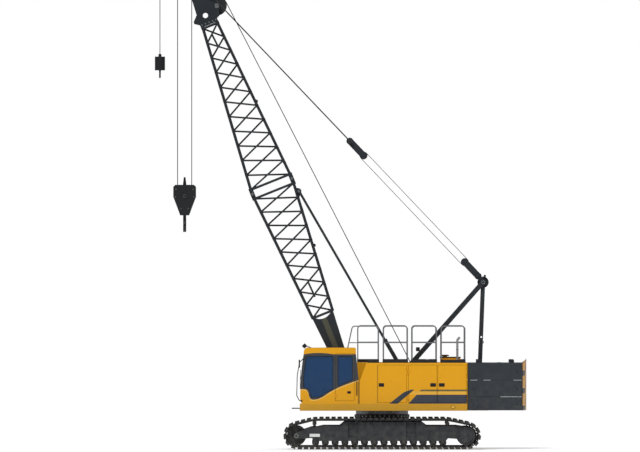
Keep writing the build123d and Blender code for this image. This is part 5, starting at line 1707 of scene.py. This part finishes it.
@dataclass
class HoodTrim(Trim):
    """Latches, seams, louvres, reflectors, lifting eyes, fuel cap and exhaust details."""

    # Door, sign of its side, and the x range of its latch
    latches: tuple[tuple[str, int, float, float], ...] = (
        ("left_front", 1, -0.055, 0.099), ("left_middle", 1, -1.557, -1.392),
        ("left_rear", 1, -1.807, -1.641), ("right_front", -1, -0.055, 0.099),
        ("right_rear", -1, -1.557, -1.392))
    # Body that carries a row of louvres, and the row's x range
    louvre_rows: tuple[tuple[str, float, float], ...] = (
        ("hood_door_right_front", -0.600, -0.120), ("hood_door_right_rear", -1.380, -0.900),
        ("upperworks", -2.360, -1.760))
    wall_y: float = 1.598
    roof_z: float = 2.498
    reflector: Flat = (-2.050, 1.220)
    exhaust: Flat = (-2.190, -0.900)
    louvre_count: int = 9
    louvre_low: float = 1.960
    louvre_pitch: float = 0.046

    def build(self) -> None:
        """Make the details of both hoods."""
        for word, sign, start, end in self.latches:
            latch = [Bench.block((start, sign * self.wall_y, 1.812), (end, sign * 1.612, 1.911), 0.010, 2),
                     Bench.block((start + 0.03, sign * 1.610, 1.842), (end - 0.03, sign * 1.626, 1.878),
                                 0.008, 2)]
            self.add(f"hood_latch_{word}", latch, BLACK, f"hood_door_{word}")
        seams = [Bench.block((0.655, 1.5985, 1.320), (0.667, 1.6008, 1.958))]
        for sign, spots in ((1, (0.138,)), (-1, (0.138, -1.600, -2.050))):
            for x in spots:
                seams.append(Bench.block((x, sign * 1.5985, 1.345), (x + 0.008, sign * 1.6006, 2.440)))
        self.add("hood_seams", seams, OLIVE)
        rims = [self.oval((sign * 1.597, sign * 1.604), (0.070, 0.046)) for sign in (1, -1)]
        eyes = [self.oval((sign * 1.603, sign * 1.611), (0.056, 0.034)) for sign in (1, -1)]
        self.add("reflector_rims", rims, OLIVE)
        self.add("reflectors", eyes, AMBER)
        self.roof()
        self.louvres()

    def oval(self, y_range: Flat, half: Flat, steps: int = 24) -> Mesh:
        """Oval plate at the place of a reflector.

        Args:
            y_range: y of its two faces.
            half: Half of its width and of its height.
            steps: Number of its corners.

        Returns:
            The plate.
        """
        x, z = self.reflector
        turns = [math.tau * i / steps for i in range(steps)]
        return Bench.plate([(x + half[0] * math.cos(a), z + half[1] * math.sin(a)) for a in turns], y_range)

    def roof(self) -> None:
        """Lifting eyes, fuel cap, walkway strips, air cleaner's lid and exhaust clamps."""
        eyes = []
        for y in (1.10, -1.10):
            for x in (-0.60, -2.30):
                eyes.append(Bench.block((x - 0.05, y - 0.008, self.roof_z), (x + 0.05, y + 0.008, 2.560),
                                        0.006, 1))
        self.add("hood_lifting_eyes", eyes, STRUCTURE)
        cap = Bench.turned([(0.0, -0.01), (0.062, -0.01), (0.062, 0.020), (0.050, 0.034), (0.0, 0.036)],
                           (-1.95, 1.25, 2.500), (0, 0, 1), 24)
        self.add("fuel_cap", [cap], BLACK)
        strips = [Bench.block((-2.38, 1.32, 2.4985), (0.36, 1.50, 2.5035), 0.001, 1),
                  Bench.block((-1.62, -1.50, 2.4985), (0.70, -1.32, 2.5035), 0.001, 1)]
        self.add("walkway_strips", strips, TREAD)
        lid = [Bench.block((-2.292, -1.460, 2.628), (-1.681, -1.040, 2.660), 0.008, 2),
               Bench.turned([(0.0, 0.0), (0.121, 0.0), (0.121, 0.030), (0.100, 0.040), (0.0, 0.042)],
                            (-1.827, -1.250, 2.679), (0, 0, 1), 32)]
        self.add("air_cleaner_lid", lid, BLACK)
        x, y = self.exhaust
        clamps = [Bench.bar((x, y, z), (x, y, z + 0.020), 0.040, 20) for z in (2.62, 2.86, 3.08)]
        self.add("exhaust_clamps", clamps, BRIGHT)

    def louvres(self) -> None:
        """Rows of louvres on the engine side's doors and rear wall, with black strips under them as painted
        shade in the openings.
        """
        levels = [self.louvre_low + i * self.louvre_pitch for i in range(self.louvre_count)]
        for body, low, high in self.louvre_rows:
            slats = [Bench.block((low, -1.614, z), (high, -self.wall_y, z + 0.026), 0.005, 1)
                     for z in levels]
            self.add(f"louvres_{body}", slats, BODY, body)
            # Black strips under the slats: painted shade that stands in for the shadowed openings
            shade_strips = [Bench.block((low + 0.008, -1.6012, z - 0.012), (high - 0.008, -1.5980, z))
                    for z in levels]
            self.add(f"louvre_painted_shade_{body}", shade_strips, BLACK, body)


@dataclass(frozen=True)
class BoomLine:
    """Line of the raised boom: its foot and its angle."""

    foot: Flat = (0.870, 1.760)
    angle: float = 68.1

    def at(self, u: float, y: float, h: float) -> Point:
        """Point at u along the boom, at y, and h towards its back, in the crane's frame."""
        a = math.radians(self.angle)
        return (self.foot[0] + u * math.cos(a) - h * math.sin(a), y,
                self.foot[1] + u * math.sin(a) + h * math.cos(a))


BOOM_LINE = BoomLine()

# Ends of a section's chords, each as u, half spread in y, h of the front and of the back chord
Stations = tuple[tuple[float, float, float, float], tuple[float, float, float, float]]


@dataclass
class BoomTrim(Trim):
    """Foot pins, joint pins, cable, rope guide rollers, welds, head bolts and backstop collars."""

    lower: Stations = ((2.300, 0.560, -0.303, 0.318), (6.145, 0.560, -0.580, 0.645))
    upper: Stations = ((6.425, 0.560, -0.580, 0.645), (11.280, 0.260, -0.120, 0.333))
    joint_u: float = 6.285
    joint_h: Flat = (-0.580, 0.645)
    chord_y: float = 0.560
    foot_cap_y: float = 0.6405
    backstop_foot: Point = (-0.820, 0.0, 1.880)
    backstop_top: Point = (2.407, 0.0, 7.473)
    backstop_y: float = 0.652

    def chord(self, stations: Stations, share: float, front: bool, sign: int) -> Point:
        """Point on a chord.

        Args:
            stations: Ends of the section's chords.
            share: Share of the chord's length.
            front: Whether the chord is on the front side.
            sign: Sign of its y.

        Returns:
            The point.
        """
        (u0, y0, f0, b0), (u1, y1, f1, b1) = stations
        h0, h1 = (f0, f1) if front else (b0, b1)
        return BOOM_LINE.at(u0 + (u1 - u0) * share, sign * (y0 + (y1 - y0) * share),
                            h0 + (h1 - h0) * share)

    def build(self) -> None:
        """Make every boom detail."""
        self.pins()
        self.cable()
        self.guides()
        self.welds()
        self.head()
        self.backstops()

    def pins(self) -> None:
        """Foot pin caps, and pins with keepers at the section joint."""
        caps, keepers = [], []
        x, z = BOOM_LINE.foot
        for sign in (1, -1):
            out = (0, sign, 0)
            caps.append(self.cap((x, sign * self.foot_cap_y, z), out, (0.070, 0.008), (0.060, 0.014), 28))
            caps += self.bolt_ring((x, sign * 0.654, z), out, 0.042, 4, 0.008, 0.006)
        self.add("boom_foot_pin_caps", caps, MACHINED)
        half = Vector((0.030, 0, 0.0))
        for sign in (1, -1):
            for h in self.joint_h:
                for out in (1, -1):
                    y = sign * self.chord_y + out * 0.064
                    keepers.append(self.cap(BOOM_LINE.at(self.joint_u, y, h), (0, out, 0), (0.036, 0.006),
                                            (0.028, 0.010), 20))
                    middle = Vector(BOOM_LINE.at(self.joint_u, y + out * 0.004, h))
                    keepers.append(Bench.bar(middle - half, middle + half, 0.004, 8))
        self.add("boom_joint_pin_caps", keepers, MACHINED, "boom")

    def cable(self) -> None:
        """Cable along a back chord, with its clips, and dark strips inside the lattice."""
        clips, cables = [], []
        inward = Vector((0, -0.046, 0))
        for stations, count in ((self.lower, 8), (self.upper, 10)):
            start = Vector(self.chord(stations, 0.03, False, 1))
            end = Vector(self.chord(stations, 0.97, False, 1))
            cables.append(Bench.bar(start + inward, end + inward, 0.009, 10))
            way = (end - start).normalized() * 0.018
            for i in range(count):
                spot = start.lerp(end, (i + 0.5) / count)
                clips.append(Bench.bar(spot - way, spot + way, 0.0465, 20))
        self.add("boom_cable", cables, BLACK, "boom")
        self.add("boom_cable_clips", clips, BLACK, "boom")
        strips = [Bench.bar(top, foot, 0.028, 12, 0.004) for top, foot in (
            ((4.930, 0.0, 12.010), (4.742, 0.0, 11.640)), ((2.145, 0.0, 4.840), (1.945, 0.0, 4.400)))]
        self.add("boom_inner_strips", strips, STRUCTURE, "boom")

    def guides(self) -> None:
        """Rollers that keep the hoist rope off the back chords, on ears from the chords."""
        rollers, ears = [], []
        for u, half, h in ((4.250, 0.470, 0.525), (8.750, 0.360, 0.525)):
            rollers.append(Bench.bar(BOOM_LINE.at(u, -half, h), BOOM_LINE.at(u, half, h), 0.034, 20, 0.004))
            for y in (-half, half):
                ears.append(Bench.bar(BOOM_LINE.at(u, y - 0.008, h), BOOM_LINE.at(u, y + 0.008, h), 0.050,
                                      16))
                ears.append(Bench.bar(BOOM_LINE.at(u, y, h), self.nearest(u, y), 0.016, 10))
        self.add("rope_guide_rollers", rollers, MACHINED, "boom")
        self.add("rope_guide_ears", ears, STRUCTURE, "boom")

    def welds(self) -> None:
        """Weld rings on the chords where the lacings meet them."""
        welds = []
        for stations, bays in ((self.lower, 9), (self.upper, 11)):
            for bay in range(bays + 1):
                share = min(max(bay / bays, 0.004), 0.996)
                for front in (True, False):
                    for sign in (1, -1):
                        spot, start, end = (Vector(self.chord(stations, s, front, sign))
                                            for s in (share, 0, 1))
                        way = (end - start).normalized() * 0.022
                        welds.append(Bench.bar(spot - way, spot + way, 0.0445, 16))
        self.add("boom_node_welds", welds, STRUCTURE, "boom")

    def nearest(self, u: float, y: float) -> Point:
        """Point on the back chord beside a guide roller.

        Args:
            u: Distance of the roller up the boom.
            y: The roller's end.

        Returns:
            The point.
        """
        (u0, y0, _, b0), (u1, y1, _, b1) = self.lower if u < self.joint_u else self.upper
        share = (u - u0) / (u1 - u0)
        return BOOM_LINE.at(u, math.copysign(y0 + (y1 - y0) * share, y), b0 + (b1 - b0) * share)

    def head(self) -> None:
        """Shaft nuts and bolts on the boom head's plates."""
        nuts, bolts = [], []
        for u, h in ((12.700, -0.125), (11.748, 0.502)):
            for sign in (1, -1):
                out = (0, sign, 0)
                nuts.append(self.cap(BOOM_LINE.at(u, sign * 0.289, h), out, (0.072, 0.010), (0.056, 0.020),
                                     24))
                bolts += self.bolt_ring(BOOM_LINE.at(u, sign * 0.308, h), out, 0.040, 4, 0.009, 0.007)
        for sign in (1, -1):
            for u in (11.345, 11.385):
                for h in (-0.110, 0.0, 0.110, 0.220, 0.320):
                    bolts.append(self.bolt(BOOM_LINE.at(u, sign * 0.275, h), (0, sign, 0), 0.012, 0.010))
        self.add("boom_head_nuts", nuts, MACHINED, "boom")
        self.add("boom_head_bolts", bolts, BRIGHT, "boom")

    def backstops(self) -> None:
        """Collars on the backstop sleeves and pins at their eyes."""
        foot, top = Vector(self.backstop_foot), Vector(self.backstop_top)
        way = (top - foot).normalized()
        collars, pins = [], []
        for sign in (1, -1):
            side = Vector((0, sign * self.backstop_y, 0))
            for at, reach in ((1.452, 0.028), (0.75, 0.012), (0.25, 0.012)):
                collars.append(self.collar(foot + way * at + side, way, 0.0575, 0.066, reach, 28))
            pins.append(self.cap(top + Vector((0, sign * 0.677, 0)), (0, sign, 0), (0.038, 0.006),
                                 (0.030, 0.012), 20))
        self.add("backstop_collars", collars, STRUCTURE, "backstop_sleeves")
        self.add("backstop_eye_pins", pins, MACHINED, "backstop_rods")


@dataclass
class GantryTrim(Trim):
    """Head covers, knob, leg pins, collar bolts, lamp and stiffening bars."""

    head: Flat = (-2.930, 4.829)
    front_foot: Flat = (-0.171, 1.700)
    rear_foot: Flat = (-2.800, 1.420)
    collar_place: Flat = (-2.871, 3.091)
    lamp_share: float = 0.35

    def build(self) -> None:
        """Make every gantry detail."""
        x, z = self.head
        dark, bright = [], []
        for sign in (1, -1):
            out = (0, sign, 0)
            dark.append(self.cap((x, sign * 0.4805, z), out, (0.078, 0.008), (0.066, 0.016), 28))
            bright += self.bolt_ring((x, sign * 0.496, z), out, 0.046, 6, 0.009, 0.007)
            pin_x, pin_z = SPREADER_PIN
            dark.append(self.cap((pin_x, sign * 0.2555, pin_z), out, (0.052, 0.008), (0.042, 0.014), 24))
            for (foot_x, foot_z), y in ((self.front_foot, 0.4655), (self.rear_foot, 0.3905)):
                dark.append(self.cap((foot_x, sign * y, foot_z), out, (0.060, 0.006), (0.048, 0.012), 24))
            bolt_x, bolt_z = self.collar_place
            for dx in (-0.055, 0.055):
                for dz in (-0.020, 0.020):
                    bright.append(self.bolt((bolt_x + dx, sign * 0.398, bolt_z + dz), out, 0.010, 0.008))
        dark.append(Bench.bar((x - 0.052, 0.0, z + 0.155), (x - 0.052, 0.0, z + 0.212), 0.030, 16, 0.006))
        dark.append(Bench.block((x - 0.085, -0.230, z + 0.150), (x - 0.020, 0.230, z + 0.166), 0.004, 1))
        self.add("gantry_pin_caps", dark, STRUCTURE)
        self.add("gantry_bolts", bright, BRIGHT)
        self.lamp()
        self.bars()

    def lamp(self) -> None:
        """Work lamp on the front leg's tie."""
        x, z = (foot + (head - foot) * self.lamp_share for foot, head in zip(self.front_foot, self.head))
        parts = [Bench.block((x + 0.040, -0.085, z + 0.030), (x + 0.150, 0.085, z + 0.150), 0.016, 3),
                 Bench.bar((x, 0.0, z), (x + 0.060, 0.0, z + 0.060), 0.016, 10)]
        self.add("gantry_lamp", parts, BLACK)
        lens = Bench.block((x + 0.148, -0.070, z + 0.045), (x + 0.156, 0.070, z + 0.135), 0.003, 1)
        self.add("gantry_lamp_glass", [lens], LAMP_PANE)

    def bars(self) -> None:
        """Stiffening bars along the outer faces of the front legs."""
        start, end = (Vector((x, 0, z)) for x, z in (self.front_foot, self.head))
        way = (end - start).normalized()
        bars = []
        for y in (0.465, -0.465):
            side = Vector((0, y, 0))
            bars.append(Bench.bar(start + way * 0.30 + side, end - way * 0.35 + side, 0.014, 10))
        self.add("gantry_leg_bars", bars, STRUCTURE)


@dataclass
class RopeTrim(Trim):
    """Falls, hoist ropes from the drums to the boom head, ropes over sheaves and turns on drums."""

    luff_angle: float = math.atan2(9.0, 8.55)
    luff_reach: Flat = (0.560, 4.825)
    auxiliary_low: float = 11.431
    hoist_drum: Flat = (-1.456, 1.870)
    boom_drum: Flat = (-2.280, 1.750)
    drum_radius: float = 0.274
    deflector_radius: float = 0.283
    hoist_radius: float = 0.013
    hoist_spans: int = 40
    bend_share: float = 0.14
    hoop_radius: float = 0.0105
    laid_radius: float = 0.260
    laid_pitch: float = 0.0226

    def build(self) -> None:
        """Make the running ropes."""
        self.falls()
        self.hoist()
        self.over_sheaves()
        self.drums()

    def falls(self) -> None:
        """Stand-ins for the falls between the two bodies they hang between, left on neither body."""
        luff = (math.cos(self.luff_angle), math.sin(self.luff_angle))
        low, high = (tuple(SPREADER_PIN[i] + luff[i] * reach for i in (0, 1))
                     for reach in self.luff_reach)
        for node, finish, bodies, start, end in (
                ("luffing_falls", ROPE_LUFF, ("lower_spreader", "upper_spreader"), low, high),
                ("main_falls", ROPE_UP, ("main_hoist_line", "main_hook_block"), TIP_SHAFT, BLOCK_SHAFT),
                ("auxiliary_rope", ROPE_UP, ("auxiliary_line", "auxiliary_weight"),
                 (AUXILIARY_X, FRONT_SHAFT[1]), (AUXILIARY_X, self.auxiliary_low))):
            rope = self.crew.refined(node, finish, fixed=False)
            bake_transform(rope)

    def hoist(self) -> None:
        """Two straight hoist ropes from the drums to the deflector sheaves, left on no body."""
        for name, y0, y1 in (("hoist_rope_main", 0.230, 0.055), ("hoist_rope_auxiliary", -0.230, -0.055)):
            drum = Vector((self.hoist_drum[0], y0, self.hoist_drum[1]))
            sheave = Vector((DEFLECTOR_SHAFT[0], y1, DEFLECTOR_SHAFT[1]))
            run = Vector((sheave.x - drum.x, 0, sheave.z - drum.z))
            lean = (self.drum_radius + self.deflector_radius) / run.length
            across = Vector((run.z, 0, -run.x)).normalized()
            normal = run.normalized() * lean + across * math.sqrt(1.0 - lean * lean)
            start = drum + normal * self.drum_radius
            end = sheave - normal * self.deflector_radius
            points = [start.lerp(end, i / self.hoist_spans) for i in range(self.hoist_spans + 1)]
            piece = self.crew.done(Bench.pipe(points, self.hoist_radius, False), name, ROPE_RUN, "", (),
                                   60.0)
            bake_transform(piece)

    def over_sheaves(self) -> None:
        """Rope in the grooves of the tip, front, deflector and block sheaves."""
        for name, shaft, places, radius, low, high, body in (
                ("rope_over_tip", TIP_SHAFT, (-0.150, -0.050, 0.050, 0.150), 0.2055, -90, 90, "boom"),
                ("rope_over_front", FRONT_SHAFT, (0.0,), 0.1970, -90, 90, "boom"),
                ("rope_over_deflector", DEFLECTOR_SHAFT, (-0.055, 0.055), 0.2815, -68, 10, "boom"),
                ("rope_under_block", BLOCK_SHAFT, (-0.135, -0.045, 0.045, 0.135), 0.2055, 90, 270,
                 "main_hook_block")):
            hoops = [self.hoop((shaft[0], y, shaft[1]), radius, low, high) for y in places]
            self.add(name, hoops, ROPE_UP, body)

    def hoop(self, centre: Point, radius: float, low: float, high: float, steps: int = 24) -> Mesh:
        """Part turn of rope in a groove.

        Args:
            centre: Middle of the turn.
            radius: Radius of the rope's middle line.
            low: First angle in degrees, from +Z towards +X.
            high: Last angle.
            steps: Number of straight runs.

        Returns:
            The rope.
        """
        points = []
        for i in range(steps + 1):
            a = math.radians(low + (high - low) * i / steps)
            points.append((centre[0] + radius * math.sin(a), centre[1], centre[2] + radius * math.cos(a)))
        return Bench.pipe(points, self.hoop_radius, False)

    def drums(self) -> None:
        """Laid turns on the three drums, a little proud of the drawn rope."""
        for word, (x, z), (low, high) in (("main", self.hoist_drum, (0.049, 0.411)),
                                          ("auxiliary", self.hoist_drum, (-0.411, -0.049)),
                                          ("boom", self.boom_drum, (-0.276, 0.276))):
            count = int((high - low) / self.laid_pitch)
            turns = []
            for i in range(count):
                y = low + (i + 0.5) * (high - low) / count
                Bench.clear()
                bpy.ops.mesh.primitive_torus_add(
                    major_radius=self.laid_radius, minor_radius=self.laid_pitch / 2 - 0.0004,
                    major_segments=40, minor_segments=8, location=(x, y, z),
                    rotation=(math.pi / 2, 0, 0))
                turns.append(Bench.settle(bpy.context.object))
            self.add(f"laid_rope_{word}", turns, ROPE_DRUM, f"winch_drum_{word}", 80.0)


@dataclass
class HookTrim(Trim):
    """Latches, cheek bolts and caps of the hooks."""

    cheek_y: float = 0.225
    cheek_bolts: tuple[Flat, ...] = ((-0.25, 0.20), (0.25, 0.20), (-0.10, -0.36), (0.10, -0.36),
                                     (-0.27, -0.02), (0.27, -0.02))
    socket_levels: Flat = (11.39, 11.425)

    def build(self) -> None:
        """Make the details of both hooks."""
        self.main()
        self.auxiliary()

    def main(self) -> None:
        """Caps and bolts of the main hook block, and the main hook's latch and collar."""
        x, z = BLOCK_SHAFT
        caps, bolts = [], []
        for sign in (1, -1):
            out = (0, sign, 0)
            y = sign * self.cheek_y
            caps.append(self.cap((x, sign * 0.2405, z), out, (0.070, 0.008), (0.056, 0.016), 28))
            bolts += self.bolt_ring((x, sign * 0.256, z), out, 0.042, 6, 0.008, 0.006)
            for dx, dz in self.cheek_bolts:
                bolts.append(self.bolt((x + dx, y, z + dz), out, 0.014, 0.012))
            caps.append(Bench.block((x - 0.12, y, 6.800), (x + 0.12, sign * 0.233, 6.905), 0.004, 1))
        self.add("hook_block_caps", caps, HOOK_BLACK, "main_hook_block")
        self.add("hook_block_bolts", bolts, MACHINED, "main_hook_block")
        latch = [Bench.bar((x, 0.020, 6.655), (x, 0.118, 6.505), 0.010, 10),
                 Bench.bar((x - 0.030, 0.026, 6.645), (x + 0.030, 0.026, 6.645), 0.013, 12),
                 self.collar((x, 0.0, 6.938), (0, 0, 1), 0.0805, 0.088, 0.012, 28)]
        self.add("main_hook_latch", latch, MACHINED, "main_hook")

    def auxiliary(self) -> None:
        """Bands on the auxiliary rope's socket, and the auxiliary hook's latch."""
        x = AUXILIARY_X
        bands = [self.collar((x, 0.0, level), (0, 0, 1), 0.0395, 0.047, 0.010, 20)
                 for level in self.socket_levels]
        self.add("auxiliary_socket_bands", bands, HOOK_BLACK, "auxiliary_weight")
        latch = [Bench.bar((x, 0.012, 10.950), (x, 0.062, 10.866), 0.006, 10),
                 Bench.bar((x - 0.016, 0.016, 10.945), (x + 0.016, 0.016, 10.945), 0.008, 12)]
        self.add("auxiliary_hook_latch", latch, MACHINED, "auxiliary_hook")


@dataclass
class WeightTrim(Trim):
    """Lifting lugs, seam marks and bolts of the counterweight."""

    side_y: float = 1.650
    lug_y: float = 1.20
    # Level of a seam, and the x ranges of the marks along it
    seams: tuple = ((2.000, ((-2.755, -2.552), (-3.132, -2.929), (-4.030, -3.799))),
                    (1.519, ((-3.944, -3.422), (-4.030, -3.960))))

    def build(self) -> None:
        """Make the details of the counterweight."""
        lugs, marks, bolts = [], [], []
        for sign in (1, -1):
            y = sign * self.lug_y
            for x in (-2.80, -3.75):
                lugs.append(Bench.block((x - 0.07, y - 0.015, 2.490), (x + 0.07, y + 0.015, 2.590),
                                        0.010, 2))
            for z, spans in self.seams:
                for low, high in spans:
                    marks.append(Bench.block((low, sign * 1.648, z - 0.007),
                                             (high, sign * 1.6535, z + 0.007)))
            for x in (-2.65, -3.90):
                for z in (1.30, 1.75, 2.25):
                    bolts.append(self.bolt((x, sign * self.side_y, z), (0, sign, 0), 0.020, 0.014))
        for y in (-1.10, -0.55, 0.55, 1.10):
            lugs.append(Bench.bar((-3.40, y, 2.480), (-3.40, y, 2.502), 0.060, 20, 0.004))
        self.add("counterweight_lugs", lugs, WEIGHT)
        self.add("counterweight_seam_marks", marks, PALE)
        self.add("counterweight_bolts", bolts, STRUCTURE)


@dataclass
class DeckTrim(Trim):
    """Anti-slip plate, hydraulic lines and valve block on the revolving frame."""

    line_places: tuple[float, ...] = (-0.40, -0.34, -0.28, 0.28, 0.34, 0.40)
    line_radius: float = 0.014
    spools: int = 5

    def build(self) -> None:
        """Make the details of the deck."""
        plate = Bench.block((-1.80, -0.70, 1.1425), (0.55, 0.70, 1.1465), 0.001, 1)
        self.add("bay_floor_plate", [plate], TREAD)
        lines = []
        for i, y in enumerate(self.line_places):
            lines.append(Bench.pipe([(0.95, y, 1.200), (0.30, y, 1.185 + 0.004 * i), (-0.60, y, 1.185),
                                     (-1.10, y * 0.9, 1.190), (-1.35, y * 0.8, 1.330)], self.line_radius))
        self.add("hydraulic_lines", lines, BLACK)
        valve = [Bench.block((-0.55, -0.20, 1.146), (-0.10, 0.20, 1.400), 0.015, 2)]
        for i in range(self.spools):
            x = -0.50 + i * 0.09
            for y in (-0.14, 0.14):
                valve.append(Bench.bar((x, y, 1.395), (x, y, 1.450), 0.022, 14, 0.004))
        self.add("valve_block", valve, ENGINE)


# Finish and edge rounding of the CAD nodes that keep their own form
SKINS: tuple[tuple[Finish | Pane, float, str], ...] = (
    (STRUCTURE, 0.008, "track_frame_left track_frame_right"),
    (WHEEL, 0.004, "rollers_left rollers_right"),
    (WHEEL, 0.005, "idler_left idler_right"),
    (STRUCTURE, 0.006, "final_drive_left final_drive_right"),
    (STRUCTURE, 0.010, "carbody"),
    (STRUCTURE, 0.004, "slew_ring_lower"),
    (MACHINED, 0.004, "slew_ring_upper"),
    (DECK, 0.006, "revolving_frame"),
    (CAB_BAND, 0.010, "cab_shell"),
    (CAB_BAND, 0.006, "cab_door"),
    (BODY, 0.008, "hood_left hood_right"),
    (ENGINE, 0.030, "engine_block"),
    (BODY, 0.005, "hood_door_left_front hood_door_left_middle hood_door_left_rear hood_door_right_front "
                  "hood_door_right_rear"),
    (MACHINED, 0.004, "winch_drum_main winch_drum_auxiliary winch_drum_boom"),
    (STRUCTURE, 0.004, "winch_stand"),
    (STRUCTURE, 0.006, "gantry_front_legs gantry_rear_legs"),
    (STRUCTURE, 0.003, "gantry_head"),
    (WEIGHT, 0.014, "counterweight_bottom counterweight_middle counterweight_top"),
    (HAZARD, 0.0, "hazard_board"),
    (RAIL, 0.0, "guard_rails"),
    (BOOM, 0.0, "boom_lower"),
    (STRUCTURE, 0.0, "boom_upper"),
    (STRUCTURE, 0.003, "boom_head"),
    (SHEAVE, 0.0, "tip_sheaves deflector_sheaves front_sheave"),
    (STRUCTURE, 0.0, "lower_spreader upper_spreader"),
    (ROPE_LEAN, 0.0, "pendants"),
    (STRUCTURE, 0.003, "backstop_sleeves"),
    (STRUCTURE, 0.0, "backstop_rods"),
    (HOOK_BLACK, 0.005, "main_hook_block"),
    (HOOK_BLACK, 0.006, "main_hook auxiliary_weight"),
    (HOOK_BLACK, 0.004, "auxiliary_hook"),
    (CAB_PANE, 0.0, "cab_glass cab_door_glass"),
    (BLACK, 0.0, "cab_fittings"),
    (BODY, 0.012, "air_cleaner"),
    (PALE, 0.0, "exhaust_and_vent"),
)


def main() -> None:
    """Build the studio and every sub-assembly in order."""
    logging.basicConfig(level=logging.INFO, format="%(name)s: %(message)s")
    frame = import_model()
    crew = Crew(frame)
    Studio().build()
    for finish, bevel, nodes in SKINS:
        for node in nodes.split():
            crew.refined(node, finish, bevel)
    Track().build(crew)
    for part in (UndercarriageTrim, DeckTrim, CabTrim, HoodTrim, WeightTrim, GantryTrim, BoomTrim,
                 RopeTrim, HookTrim):
        part(crew).build()


if __name__ == "__main__":
    main()
